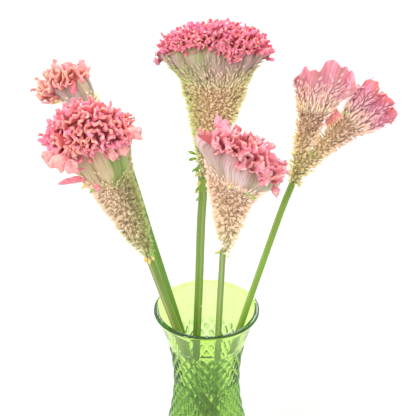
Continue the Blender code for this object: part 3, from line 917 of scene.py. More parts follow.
# Each crest's room for a fold, ribbon height, lip thickness, crumple of the lip, droop of its ends, how
# far its folds reach from the top in degrees, length of a lobe of the lip, and depth of its notches
FOLDS = {
    "back": (4.8, 7.6, 2.8, 1.3, 13.0, 66.0, 4.0, 0.5),
    "front": (5.6, 9.6, 3.2, 1.4, 6.0, 72.0, 8.5, 0.45),
    "left": (5.6, 9.5, 3.4, 1.7, 4.0, 78.0, 7.0, 0.45),
    "far_left": (5.6, 8.6, 3.2, 1.0, 2.0, 72.0, 8.0, 0.35),
}
# Room for the folds beyond a dome's rim in width and in depth, as a share of the ribbon's height; the
# dome's foot as a share of its crest's rise; and the sheet's rim as a share of the dome's
RIM_ROOM = (0.8, 0.7)
DOME_FOOT = 0.28
SHEET_RIM = (0.96, 0.98)
# Places on a dome's rim where a cluster of folds slides down: direction, drop, and spread of the cluster
HANGING = {
    "back": [(-72, 14.0, 0.24), (180, 13.0, 0.30), (0, 8.0, 0.26)],
    "front": [(-8, 8.0, 0.3), (-60, 5.0, 0.22)],
    "left": [(-135, 10.0, 0.35), (-25, 9.0, 0.24)],
    "far_left": [(-155, 12.0, 0.4)],
}


class Dome:
    """The surface that carries a crest's folds: an oval dome on the top of a sheet."""

    def __init__(self, part):
        shift, half_width, half_depth, rise = CRESTS[part]
        _, height, _, _, droop, reach, _, _ = FOLDS[part]
        section = np.array([shifted(FANS[part][-1], shift, half_width, half_depth)], float)
        centre, width, depth, normal = section_frames(head_of(part), section)
        self.centre, self.width, self.depth, self.normal = centre[0], width[0], depth[0], normal[0]
        self.half_width = (half_width - RIM_ROOM[0] * height) / math.sin(math.radians(reach))
        self.half_depth = (half_depth - RIM_ROOM[1] * height) / math.sin(math.radians(reach))
        self.low = DOME_FOOT * rise
        self.high = rise - height
        self.droop = droop
        self.hanging = HANGING[part]
        self.reach = math.radians(reach)
        self.section = section[0]

    def flat_size(self):
        """Half sizes of the dome when it is rolled out flat."""
        rise = self.high - self.low
        sweep = np.linspace(0, self.reach, 40)
        sizes = []
        for half in (self.half_width, self.half_depth):
            steps = np.hypot(np.diff(half * np.sin(sweep)), np.diff(rise * np.cos(sweep)))
            sizes.append(float(np.sum(steps)))
        return sizes

    def place(self, x, y):
        """Point of the dome for a place in the unit disc."""
        radius = np.clip(np.hypot(x, y), 1e-6, 1.0)
        latitude = radius * self.reach
        across = np.sin(latitude) * x / radius
        inward = np.sin(latitude) * y / radius
        up = self.low + (self.high - self.low) * np.cos(latitude) - self.droop * across ** 2
        for direction, drop, spread in self.hanging:
            angle = math.radians(direction)
            away = (x - math.cos(angle)) ** 2 + (y - math.sin(angle)) ** 2
            up = up - drop * np.exp(-away / spread ** 2)
        return (self.centre + self.width * (self.half_width * across)[..., None]
                + self.depth * (self.half_depth * inward)[..., None] + self.normal * up[..., None])

    def rim_section(self):
        """The sheet's own section where it meets the dome's rim."""
        sideways_at, along_at, tilt = self.section[:3]
        up = self.low + (self.high - self.low) * math.cos(self.reach)
        angle = math.radians(tilt)
        return (sideways_at + up * math.sin(angle), along_at + up * math.cos(angle), tilt,
                self.half_width * math.sin(self.reach) * SHEET_RIM[0],
                self.half_depth * math.sin(self.reach) * SHEET_RIM[1])

    def outward(self, x, y):
        """Direction straight out of the dome."""
        small = 0.004
        change_x = self.place(x + small, y) - self.place(x - small, y)
        change_y = self.place(x, y + small) - self.place(x, y - small)
        return unit(np.cross(change_x, change_y))


silk, given, put_out = effect("silky_lines", {
    "Vector": ["Lines"], "Float": ["Pleat"], "Color": ["Colour"]}, {"Color": ["Colour"], "Float": ["Height"]})
lines = noise(silk, given["Lines"], 1.0, 3.0)
streak = ramp(silk, lines, [
    (0.28, (0.64, 0.58, 0.56)), (0.5, (0.98, 0.96, 0.95)), (0.72, (1.22, 1.20, 1.22))])
# Painted shade in the hollows of the pleats
hollow = ramp(silk, given["Pleat"], [(0.0, (0.66, 0.62, 0.54)), (0.6, WHITE)])
feed(silk, put_out, {"Colour": tinted(silk, given["Colour"], streak, hollow), "Height": lines})


def silky(tree, surface, colour):
    """Finishes a sheet: lengthwise lines and painted shade in the pleats' hollows on its colour, and soft
    translucence.
    """
    lengthwise = wire(tree, "ShaderNodeAttribute", attribute_name="lines").outputs["Vector"]
    look = placed(tree, silk, {"Lines": lengthwise, "Pleat": number(tree, "pleat"), "Colour": colour})
    bumpy(tree, surface, look["Height"], 0.35, 0.0006)
    feed(tree, surface, {"Base Color": look["Colour"], "Roughness": 0.5, "Sheen Weight": 0.15}
         | translucent(0.35, (1.0, 0.7, 0.6), 0.003))


rising_colour, given, put_out = effect("sheet_colour", {
    "Float": ["Rise", "Flush"], "Color": ["Foot", "Middle", "Rim", "Green"]}, {"Color": ["Colour"]})
colour = steps_of(rising_colour, given["Rise"], given["Foot"], (0.0, 0.5, given["Middle"]),
                  (0.5, 1.0, given["Rim"]))
feed(rising_colour, put_out, {"Colour": blend(rising_colour, given["Flush"], colour, given["Green"])})


def fan_material(part):
    """Pale silky tissue from foot to rim, darker at some rims partly as painted shade under the crest, with a
    green flush on one side.
    """
    material, tree, surface = blank_material("pleated_sheet_" + part)
    values = dict(zip(("Foot", "Middle", "Rim", "Green"), FAN_COLOURS[part]))
    values |= {"Rise": number(tree, "rise"), "Flush": number(tree, "flush")}
    silky(tree, surface, placed(tree, rising_colour, values)["Colour"])
    return material


def pleats(turn, share, count, seed):
    """Depth of the lengthwise pleats, from -1 in a hollow to 1 on a crown."""
    rng = np.random.default_rng(seed)
    a, b, c = rng.uniform(0, math.tau, 3)
    wander = 0.5 * np.sin(2 * turn + a) + 0.4 * np.sin(3 * share + b)
    main = np.sin(count * turn + 2.2 * wander)
    return 0.7 * main + 0.3 * np.sin((count * 2 + 3) * turn + c + 1.5 * wander)


def sheet_numbers(rings, rise, pleat, lines, side, upward, cover):
    """What each point of a sheet carries: its rise, pleats and lines, and how florets grow on it."""
    return {"rise": rise.ravel(), "pleat": pleat.ravel(), "lines": lines.reshape(-1, 3), "zone": rise.ravel(),
            "side": side.ravel(), "grow": growing_way(rings, upward).reshape(-1, 3), "cover": cover.ravel(),
            "bulk": np.full(rise.size, 0.9)}


domes = {part: Dome(part) for part in CRESTS}
for fan_number, part in enumerate(FANS):
    sections = fill_in([FLORETS[part][-1]] + FANS[part] + [domes[part].rim_section()], FAN_STEP)
    centre, width, depth, normal = section_frames(part, sections)
    turn = full_turn(FAN_SIDES)
    share = np.linspace(0, 1, len(sections))[:, None]
    count, pleat_depth = FAN_PLEATS[part]
    fold = pleats(turn[None, :], share, count, 70 + fan_number)
    bulk = 1 - 0.06 * (1 - share) + (0.01 + pleat_depth * share) * fold
    across = width[:, None, :] * (np.cos(turn) * sections[:, 3:4] * bulk)[:, :, None]
    inward = depth[:, None, :] * (np.sin(turn) * sections[:, 4:5] * bulk)[:, :, None]
    rings = centre[:, None, :] + across + inward
    rings -= normal[:, None, :] * (domes[part].droop * share ** 6 * np.cos(turn) ** 2)[:, :, None]
    points, faces = skin(rings)
    rise = np.broadcast_to(share, fold.shape)
    lines = np.stack([np.broadcast_to(np.cos(turn) * FAN_LINES[0], fold.shape),
                      np.broadcast_to(np.sin(turn) * FAN_LINES[1], fold.shape), rise * FAN_LINES[2]], -1)
    *_, green_side = FAN_COLOURS[part]
    facing = np.cos(turn - math.radians(green_side))[None, :]
    flush = np.clip(facing * 5 - 4.1 + 0.5 * lumps(30 + fan_number, 5 * turn[None, :], 4 * share), 0, 1)
    start, end = FAN_COVER[part]
    ragged = 0.16 * lumps(50 + fan_number, 7 * np.cos(turn)[None, :], 7 * np.sin(turn)[None, :], 3 * share)
    cover = np.clip((end - share + ragged) / (end - start), 0, 1) ** 1.5
    side = np.broadcast_to(np.cos(turn), fold.shape)
    upward = (0.86 + 0.1 * share)[:, :, None]
    numbers = sheet_numbers(rings, rise, 0.5 + 0.5 * fold, lines, side, upward, cover)
    numbers["flush"] = flush.ravel()
    sheet = solid("sheet_" + part, points, faces, fan_material(part), numbers)
    tepals = floret_material("streak_tepals_" + part, STREAK_COLOURS[part], 0.0, 1.0, 0.72)
    streaks = grown_on(sheet, "streaks_" + part, (closed_floret, closed_floret), tepals,
                       spacing=FLORET_SPACING, size=STREAK_SIZE, spread=0.12, seed=27 + fan_number)
    for piece in (sheet, streaks):
        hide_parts("fan_" + part)
        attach(piece, "root")

# Crests: the edge of each sheet keeps growing faster than the sheet and crowds into one long folded
# ribbon, soft and velvety, with a thick rounded lip. The folds fill a dome and hang over its rim.

# Colours: hollow (painted shade deep between the folds), body, lip (painted highlight on the lit lips) and
# bright patch
CREST_COLOURS = {
    "back": ((0.46, 0.06, 0.07), (0.88, 0.17, 0.22), (0.94, 0.34, 0.28), (0.90, 0.22, 0.38)),
    "front": ((0.48, 0.08, 0.09), (0.88, 0.22, 0.24), (0.94, 0.40, 0.36), (0.92, 0.34, 0.44)),
    "left": ((0.44, 0.07, 0.07), (0.90, 0.22, 0.21), (0.94, 0.36, 0.29), (0.92, 0.24, 0.38)),
    "far_left": ((0.50, 0.12, 0.09), (0.90, 0.32, 0.24), (0.95, 0.52, 0.34), (0.92, 0.36, 0.38)),
}
# Painted highlight: pale spots on the tops of the lips
PALE_HIGHLIGHT_COLOUR = (1.0, 0.72, 0.50)
# Frills: small curled lobes in the hollows and along the lip. Size and spacing in the hollows, then
# size and spacing along the lip
FRILLS = {
    "back": (1.05, 2.9, 0.80, 2.6),
    "front": (2.1, 5.4, 1.35, 4.4),
    "left": (1.2, 3.3, 0.85, 4.6),
    "far_left": (1.5, 4.2, 0.9, 5.4),
}
# Outline of one frill, as height share and half-width share; then its width, length and thickness
FRILL_FORM = [(0.0, 0.34), (0.3, 0.36), (0.62, 0.50), (0.88, 0.46), (1.0, 0.24)]
FRILL_SIZE = (5.0, 5.6, 1.3)
FRILL_SIDES = 8
BED_FRILL_SPREAD = 0.45
LIP_FRILL_SPREAD = 0.6
# Half section of the ribbon from its foot to the top of its lip: height share and half-thickness share
LIP_FORM = [(0.0, 0.62), (0.22, 0.50), (0.45, 0.48), (0.64, 0.60), (0.78, 0.84), (0.88, 1.0), (0.955, 0.86),
            (0.99, 0.50)]
# The ribbon's foot stands this far under the dome's surface
RIBBON_SUNK = 2.5
RIBBON_STEP = 0.85
BED_SIDES = 96
BED_ROWS = 20


def folded_edge(half_width, half_depth, room_at, seed, rounds=34, moves=7):
    """Closed curve grown in an ellipse until its folds lie side by side."""
    rng = np.random.default_rng(seed)

    def ask(p):
        return room_at(p[:, 0] / half_width, p[:, 1] / half_depth)

    usual = float(np.mean(ask(rng.uniform(-0.6, 0.6, (400, 2)) * (half_width, half_depth))))
    count = int(math.pi * (half_width + half_depth) * 0.45 / (0.3 * usual))
    turn = np.linspace(0, math.tau, count, endpoint=False)
    wave = 1 + 0.18 * np.sin(5 * turn + 1) + 0.12 * np.sin(8 * turn)
    p = np.stack([np.cos(turn) * half_width * 0.5 * wave, np.sin(turn) * half_depth * 0.5 * wave], 1)
    for _ in range(rounds):
        room = ask(p)
        step = 0.3 * room
        after = np.roll(p, -1, 0)
        edge = np.hypot(*(after - p).T)
        growing = np.sum(edge * room) < 0.93 * math.pi * half_width * half_depth
        split = (edge > 1.35 * step) | (rng.random(len(p)) < (0.10 if growing else 0.0))
        keep = ~((edge < 0.4 * step) & (np.arange(len(p)) % 2 == 0))
        both = np.empty((2 * len(p), 2))
        both[0::2], both[1::2] = p, (p + after) / 2
        p = both[np.stack([keep, split], 1).ravel()]
        room = ask(p)
        step = 0.3 * room
        count = len(p)
        x, y = p.astype(np.float32).T
        near = (x[:, None] - x[None, :]) ** 2 + (y[:, None] - y[None, :]) ** 2
        i, j = np.nonzero(near < (1.35 * room[:, None].astype(np.float32)) ** 2)
        gap = np.abs(i - j)
        apart = np.minimum(gap, count - gap) > 2
        i, j = i[apart], j[apart]
        pair = (room[i] + room[j]) / 2
        for _ in range(moves):
            between = p[i] - p[j]
            distance = np.hypot(*between.T) + 1e-9
            push = np.clip(1 - distance / pair, 0, 1) / distance * pair * 0.16
            pushed = np.stack([np.bincount(i, between[:, k] * push, count) for k in (0, 1)], 1)
            move = ((np.roll(p, 1, 0) + np.roll(p, -1, 0)) / 2 - p) * 0.55 + pushed
            move += rng.normal(0, 0.012, p.shape) * room[:, None]
            limit = 0.35 * step[:, None]
            p = p + np.clip(move, -limit, limit)
            p /= np.maximum(np.hypot(p[:, 0] / half_width, p[:, 1] / half_depth), 1.0)[:, None]
    return p


def evenly(loop, spacing):
    """Closed curve through rounded corners, with evenly spaced points."""
    for _ in range(2):
        after = np.roll(loop, -1, 0)
        loop = np.stack([0.75 * loop + 0.25 * after, 0.25 * loop + 0.75 * after], 1).reshape(-1, 2)
    closed = np.vstack([loop, loop[:1]])
    length = np.concatenate([[0], np.cumsum(np.hypot(*np.diff(closed, axis=0).T))])
    places = np.linspace(0, length[-1], int(length[-1] / spacing), endpoint=False)
    return np.column_stack([np.interp(places, length, closed[:, k]) for k in (0, 1)]), length[-1]


velvet, given, put_out = effect("velvet_folds", {
    "Vector": ["Place"], "Float": ["Lip", "Tone"],
    "Color": ["Hollow Shade", "Body", "Lip Highlight", "Bright", "Pale Highlight"]}, {"Color": ["Colour"], "Float": ["Height"]})
# Painted shade at the ribbon's foot deep between the folds, painted highlight along its lip, and pale painted
# highlight spots on the lip's top
level = wandering(velvet, given["Lip"], noise(velvet, given["Place"], 160.0, 3.0))
colour = steps_of(velvet, level, given["Hollow Shade"], (0.05, 0.5, given["Body"]),
                  (0.82, 1.0, given["Lip Highlight"]))
patch = steps_of(velvet, level, given["Hollow Shade"], (0.05, 0.5, given["Bright"]))
spots = noise(velvet, given["Place"], 330.0, 1.0)
pale_highlight_spots = calc(velvet, "MULTIPLY", share_of(velvet, given["Lip"], 0.72, 0.95),
            share_of(velvet, spots, 0.58, 0.72))
colour = blend(velvet, pale_highlight_spots, blend(velvet, given["Tone"], colour, patch), given["Pale Highlight"])
feed(velvet, put_out, {"Colour": colour, "Height": noise(velvet, given["Place"], 1400.0, 2.0)})


def crest_material(head, name, lip_number):
    """Crest tissue: painted shade deep in the hollows, pink body, paler lip as painted highlight with pale
    painted highlight spots, and a fine velvety bump.
    """
    material, tree, surface = blank_material(name + head)
    values = dict(zip(("Hollow Shade", "Body", "Lip Highlight", "Bright"), CREST_COLOURS[head]))
    values |= {"Place": object_place(tree), "Lip": number(tree, lip_number), "Tone": number(tree, "tone"),
               "Pale Highlight": PALE_HIGHLIGHT_COLOUR}
    look = placed(tree, velvet, values)
    bumpy(tree, surface, look["Height"], 0.3, 0.0003)
    feed(tree, surface, {"Base Color": look["Colour"], "Roughness": 0.42, "Sheen Weight": 0.25}
         | translucent(0.3, (1.0, 0.35, 0.3), 0.003))
    return material


def ribbon(dome, loop, length, folds, seed):
    """Folded ribbon standing on a dome: points, faces and numbers."""
    room, height, lip, crumple, _, _, lobe, notch = folds
    flat = dome.flat_size()
    x, y = loop[:, 0] / flat[0], loop[:, 1] / flat[1]
    foot = dome.place(x, y)
    out = dome.outward(x, y)
    along = unit(np.roll(foot, -1, 0) - np.roll(foot, 1, 0))
    side = unit(np.cross(along, out))
    out = np.cross(side, along)
    run = np.arange(len(loop)) / len(loop) * math.tau
    waves = length / math.tau
    rng = np.random.default_rng(seed)

    def ripple(wavelengths):
        """Waves of several lengths along the whole ribbon, between about -1 and 1."""
        total = 0.0
        for wavelength in wavelengths:
            total = total + np.sin(round(waves * math.tau / wavelength) * run + rng.uniform(0, math.tau)
                                   + 1.5 * np.sin(round(waves * math.tau / (7 * wavelength)) * run))
        return total / math.sqrt(len(wavelengths))

    lobes = np.abs(np.sin(round(waves * math.pi / lobe) * run
                          + 1.4 * ripple((lobe * 3.1, lobe * 5.3)))) ** 0.7
    sway = crumple * ripple((room * 0.9, room * 1.9))
    tall = height * (1 - notch * (1 - lobes)) * np.clip(1 + 0.10 * ripple((room * 1.9, room * 3.1))
                                                        + 0.16 * lumps(seed, 5 * x, 5 * y), 0.6, 1.35)
    thick = lip / 2 * (0.62 + 0.38 * lobes) * np.clip(1 + 0.15 * ripple((room * 1.5, room * 2.6)), 0.6, 1.4)
    form = LIP_FORM + [(1.0, 0.0)] + [(share, -half) for share, half in reversed(LIP_FORM)]
    rows = []
    shares = []
    for share, half in form:
        rows.append(foot + out * ((share * (tall + RIBBON_SUNK) - RIBBON_SUNK))[:, None]
                    + side * (half * thick + sway * share ** 2)[:, None])
        shares.append(np.full(len(loop), share))
    rows = np.array(rows)
    count = len(loop)
    index = np.arange(rows.shape[0] * count).reshape(rows.shape[0], count)
    below = np.roll(index, -1, 0)
    faces = np.stack([index, np.roll(index, -1, 1), np.roll(below, -1, 1), below], -1).reshape(-1, 4).tolist()
    tone = np.clip(0.5 + 0.6 * lumps(seed + 1, 3 * x, 3 * y), 0, 1)
    lip_share = np.array(shares).ravel()
    numbers = {"lip": lip_share, "tone": np.tile(tone, rows.shape[0]),
               "grow": np.tile(out, (rows.shape[0], 1)), "cover": (lip_share > 0.86).astype(float),
               "bulk": np.ones(lip_share.size)}
    return rows.reshape(-1, 3), faces, numbers


def frill():
    """One curled lobe along +Z: a hollowed spoon with a waved edge."""
    width, length, thickness = FRILL_SIZE
    turn = full_turn(FRILL_SIDES)
    rings, tips = [], []
    for rise, half in FRILL_FORM:
        across = np.cos(turn) * half * width
        hollowed = 1.6 * (across / width) ** 2 * width * rise
        depth = np.sin(turn) * thickness / 2 + hollowed + 1.7 * rise ** 2
        up = length * rise * (1 + 0.10 * rise * np.cos(3 * turn + 0.6)) - 0.8 * (rise == 0)
        rings.append(np.stack([across, depth, up], 1))
        tips.append(np.full(FRILL_SIDES, 0.25 + 0.75 * rise))
    points, faces = skin(rings)
    return solid("frill", points, faces, floor_white, {"tip": np.array(tips).ravel()})


def dome_floor(dome):
    """Closed inner body of the dome, under the folds."""
    turn = full_turn(BED_SIDES)
    rings = [dome.place(np.cos(turn) * share, np.sin(turn) * share)
             for share in np.linspace(1, 0.04, BED_ROWS)]
    below = (np.array(rings[0]) - dome.centre) @ dome.normal
    first = rings[0] - dome.normal * below[:, None]
    first = dome.centre + (first - dome.centre) * 0.8
    points, faces = skin([first, *rings], dome.centre, dome.place(np.array([0.0]), np.array([0.0]))[0])
    grow = [dome.outward(np.cos(turn) * share, np.sin(turn) * share)
            for share in np.linspace(0.99, 0.04, BED_ROWS)]
    grow = np.vstack([grow[0], *grow, dome.normal[None, :], dome.normal[None, :]])
    none = np.zeros(len(points))
    cover = np.ones(len(points))
    cover[:BED_SIDES] = 0.0
    cover[-2] = 0.0
    return points, faces, {"lip": none, "tone": none, "grow": grow, "cover": cover, "bulk": none + 1}


frill_shape = frill()
for crest_number, part in enumerate(CRESTS):
    folds = FOLDS[part]
    dome = domes[part]
    room = folds[0]
    loop = folded_edge(*dome.flat_size(), lambda x, y: room + 0 * x, 20 + crest_number)
    loop, length = evenly(loop, RIBBON_STEP)
    points, faces, numbers = ribbon(dome, loop, length, folds, 90 + crest_number)
    crest_skin = crest_material(part, "crest_velvet_", "lip")
    frill_skin = crest_material(part, "frill_velvet_", "tip")
    comb = solid("comb_" + part, points, faces, crest_skin, numbers)
    points, faces, numbers = dome_floor(dome)
    bed = solid("comb_bed_" + part, points, faces, crest_skin, numbers)
    bed_size, bed_spacing, lip_size, lip_spacing = FRILLS[part]
    inner_frills = grown_on(bed, "inner_frills_" + part, (frill_shape, frill_shape), frill_skin,
                            spacing=bed_spacing, size=bed_size, spread=BED_FRILL_SPREAD,
                            seed=47 + crest_number, smooth=True)
    lip_frills = grown_on(comb, "lip_frills_" + part, (frill_shape, frill_shape), frill_skin,
                          spacing=lip_spacing, size=lip_size, spread=LIP_FRILL_SPREAD,
                          seed=57 + crest_number, smooth=True)
    for piece in (comb, bed, inner_frills, lip_frills):
        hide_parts("crest_" + part)
        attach(piece, "root")

# Young combs: the right flower's two branches end in sheets that haven't crowded into folds yet. Each
# is one thick wavy sheet grown out of its cone, silky, with a notched rim that flares out.

# Rings as for the cones
YOUNG_SECTIONS = {
    "right_upper": [(19.8, 84.0, 11, 19.5, 8.6), (23.4, 94.0, 12, 25.0, 8.6), (26.5, 106.4, 12, 29.4, 8.6)],
    "right_side": [(60.0, 67.0, 50, 18.0, 8.6), (66.5, 74.0, 52, 20.4, 8.6), (75.5, 81.5, 54, 21.0, 8.6)],
}
# Waves across the sheet, their depth, and where a first one stands
YOUNG_WAVES = {"right_upper": (3.4, 5.4, 0.6), "right_side": (3.0, 4.8, 2.4)}
# Outline of the rim: place across from -1 to 1, rise, and flare towards the viewer
YOUNG_RIM = {
    "right_upper": [(-1.0, -8.0, 6.0), (-0.84, -2.0, 4.0), (-0.68, 0.8, 2.0), (-0.52, -0.6, 0.0),
                    (-0.40, 3.6, 2.0), (-0.28, 2.6, 1.0), (-0.10, 9.0, 0.0), (0.2, 11.5, -2.0),
                    (0.52, 9.4, 0.0), (0.66, 5.8, 1.0), (0.80, 5.0, 4.0), (1.0, -6.0, 6.0)],
    "right_side": [(-1.0, -3.0, 0.0), (-0.8, 5.5, -2.0), (-0.55, 6.5, -2.0), (-0.42, 1.0, 1.0),
                   (-0.28, 5.5, 3.0), (0.1, 8.0, 2.0), (0.5, 7.4, 1.0), (0.68, 4.6, 2.0), (0.82, 6.0, 4.0),
                   (1.0, -2.0, 5.0)],
}
YOUNG_SIDES = 320
YOUNG_STEP = 0.9
YOUNG_LINES = (26, 1.6)
# Small ruffles of the rim: how many across, their rise and their sway
YOUNG_RUFFLE = (17, 0.7, 0.8)
# Thickness at the foot and at the rim
YOUNG_THICKNESS = (3.2, 1.5)
# Share of the sheet's height where its florets start to thin out, and where the last ones stand
YOUNG_COVER = {"right_upper": (0.50, 0.86), "right_side": (0.60, 0.95)}
YOUNG_FLORET_SPACING = 1.8
# Foot, middle, upper and rim colours
YOUNG_COLOURS = {
    "right_upper": ((0.66, 0.54, 0.38), (0.68, 0.38, 0.44), (0.86, 0.42, 0.52), (0.88, 0.38, 0.46)),
    "right_side": ((0.64, 0.52, 0.40), (0.58, 0.26, 0.38), (0.72, 0.26, 0.40), (0.84, 0.24, 0.26)),
}
# Colours of the florets that run up the young combs, as for the cones
YOUNG_STREAKS = {
    "right_upper": ((0.94, 0.78, 0.56), (0.94, 0.66, 0.66), (0.96, 0.58, 0.68), (1.05, 1.0, 0.9),
                    (1.0, 0.96, 1.0)),
    "right_side": ((0.94, 0.74, 0.58), (0.90, 0.54, 0.62), (0.90, 0.44, 0.58), (1.0, 0.96, 0.9),
                   (1.05, 1.0, 1.0)),
}


def young_comb(part, seed):
    """Rings of a wavy sheet that starts as the oval top of its cone."""
    sections = fill_in([floret_sections(part)[-1]] + YOUNG_SECTIONS[part], YOUNG_STEP)
    centre, width, depth, normal = section_frames("right", sections)
    turn = full_turn(YOUNG_SIDES)
    share = np.linspace(0, 1, len(sections))[:, None]
    x = np.broadcast_to(np.cos(turn)[None, :], (len(sections), YOUNG_SIDES))
    face = np.sin(turn)[None, :]
    count, wave_depth, start = YOUNG_WAVES[part]
    phase = start + count * math.pi * x + 0.9 * np.sin(2 * x + seed) + 0.7 * share
    wave = wave_depth * share ** 0.8 * (np.sin(phase) + 0.25 * share * np.sin(2.3 * phase + 1))
    flatness = np.clip(share / 0.42, 0, 1)
    flatness = flatness ** 2 * (3 - 2 * flatness)
    thickness = YOUNG_THICKNESS[0] + (YOUNG_THICKNESS[1] - YOUNG_THICKNESS[0]) * share
    keys = YOUNG_RIM[part]
    ruffles, ruffle_rise, ruffle_sway = YOUNG_RUFFLE
    uneven = np.sin(ruffles * x + 2.0 * np.sin(5 * x + seed))
    rim = np.array([smooth_value([key[:2] for key in keys], at) for at in x[0]]) + ruffle_rise * uneven
    flare = (np.array([smooth_value([key[::2] for key in keys], at) for at in x[0]])
             + ruffle_sway * np.sin(ruffles * 1.3 * x + 1.5 * np.sin(4 * x)))

    def ring_at(row_share, row_face, lift):
        rounding = np.sign(face) * np.abs(face) ** 0.35 * row_face
        y = (1 - flatness) * sections[:, 4:5] * face + flatness * (wave + thickness / 2 * rounding)
        y = y - flare * row_share ** 4
        up = rim * row_share ** 3 - 0.3 * np.abs(flare) * row_share ** 5 + lift
        half = sections[:, 3:4] * (1 + 0.03 * np.sin(5 * share * math.pi + seed))
        return (centre[:, None, :] + width[:, None, :] * (half * x)[:, :, None]
                + depth[:, None, :] * y[:, :, None] + normal[:, None, :] * up[:, :, None])

    rings = ring_at(share, 1.0, 0.0)
    last = [ring_at(share, closing, lift)[-1] for closing, lift in ((0.85, 0.35), (0.5, 0.6), (0.2, 0.68))]
    rings = np.concatenate([rings, last])
    share = np.append(share.ravel(), (1.0, 1.0, 1.0))
    # A number for the painted shade in the hollows of the waves, 0 where it is deepest
    hollow = np.concatenate([0.5 - 0.5 * np.sin(phase) * np.sign(face)] + [0.5 + 0 * x[-1:]] * 3)
    return rings, share, turn, hollow


def strip_closed(rings):
    """Closed skin whose last ring is closed across, from one face of the sheet to the other."""
    points, faces = skin(rings)
    faces = faces[:-1]
    rows, sides = rings.shape[:2]
    first = (rows - 1) * sides
    for i in range(1, sides // 2 - 1):
        faces.append((first + i, first + i + 1, first + sides - i - 1, first + sides - i))
    faces.append((first, first + 1, first + sides - 1))
    faces.append((first + sides // 2 - 1, first + sides // 2, first + sides // 2 + 1))
    return points, faces


blushing, given, put_out = effect("young_comb_colour", {
    "Vector": ["Place"], "Float": ["Rise"], "Color": ["Foot", "Middle", "Upper", "Edge"]},
    {"Color": ["Colour"]})
drift = noise(blushing, given["Place"], 70.0, 2.0)
level = calc(blushing, "MULTIPLY_ADD", drift, 0.3, given["Rise"])
feed(blushing, put_out, {"Colour": steps_of(blushing, level, given["Foot"], (0.15, 0.5, given["Middle"]),
                                            (0.5, 0.95, given["Upper"]), (0.95, 1.15, given["Edge"]))})


def young_material(part):
    """Silky tissue that reddens towards the rim, each comb in its own colours."""
    material, tree, surface = blank_material("young_comb_" + part)
    values = dict(zip(("Foot", "Middle", "Upper", "Edge"), YOUNG_COLOURS[part]))
    look = placed(tree, blushing, values | {"Place": object_place(tree), "Rise": number(tree, "rise")})
    silky(tree, surface, look["Colour"])
    return material


for young_number, part in enumerate(BRANCHES):
    rings, share, turn, hollow = young_comb(part, 3 + young_number)
    points, faces = strip_closed(rings)
    rise = np.repeat(share[:, None], len(turn), 1)
    across = np.broadcast_to(np.cos(turn), rise.shape)
    lines = np.stack([across * YOUNG_LINES[0], np.broadcast_to(np.sign(np.sin(turn)), rise.shape),
                      rise * YOUNG_LINES[1]], -1)
    start, end = YOUNG_COVER[part]
    ragged = 0.12 * lumps(60 + young_number, 6 * across, 4 * rise)
    cover = np.clip((end - rise + ragged) / (end - start), 0, 1)
    upward = np.full(rise.shape, 0.93)[:, :, None]
    numbers = sheet_numbers(rings, rise, hollow, lines, across, upward, cover)
    comb = solid("comb_" + part, points, faces, young_material(part), numbers)
    tepals = floret_material("streak_tepals_" + part, YOUNG_STREAKS[part], 0.0, 0.9, 0.70)
    streaks = grown_on(comb, "streaks_" + part, (closed_floret, closed_floret), tepals,
                       spacing=YOUNG_FLORET_SPACING, size=STREAK_SIZE, spread=0.10, seed=37 + young_number)
    for piece in (comb, streaks):
        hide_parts("fan_" + part, "crest_" + part)
        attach(piece, "root")

# Scraps: leaf bits, side buds and cut nubs left where the flowers were stripped by hand, soft green to
# straw yellow, and loose pink petals and lobes that hang out of the crests. They are thin soft tissue,
# each grown from its stalk, its sheet or its crest.

# Dark and light shades of each kind
SCRAP_COLOURS = {
    "leaf": ((0.16, 0.34, 0.04), (0.34, 0.54, 0.12)),
    "bud": ((0.56, 0.58, 0.16), (0.86, 0.78, 0.36)),
    "straw": ((0.70, 0.50, 0.16), (0.92, 0.66, 0.26)),
    "blush": ((0.60, 0.44, 0.24), (0.86, 0.62, 0.42)),
    "petal": ((0.84, 0.16, 0.24), (0.94, 0.34, 0.40)),
    "lobe": ((0.88, 0.26, 0.28), (0.95, 0.50, 0.46)),
}
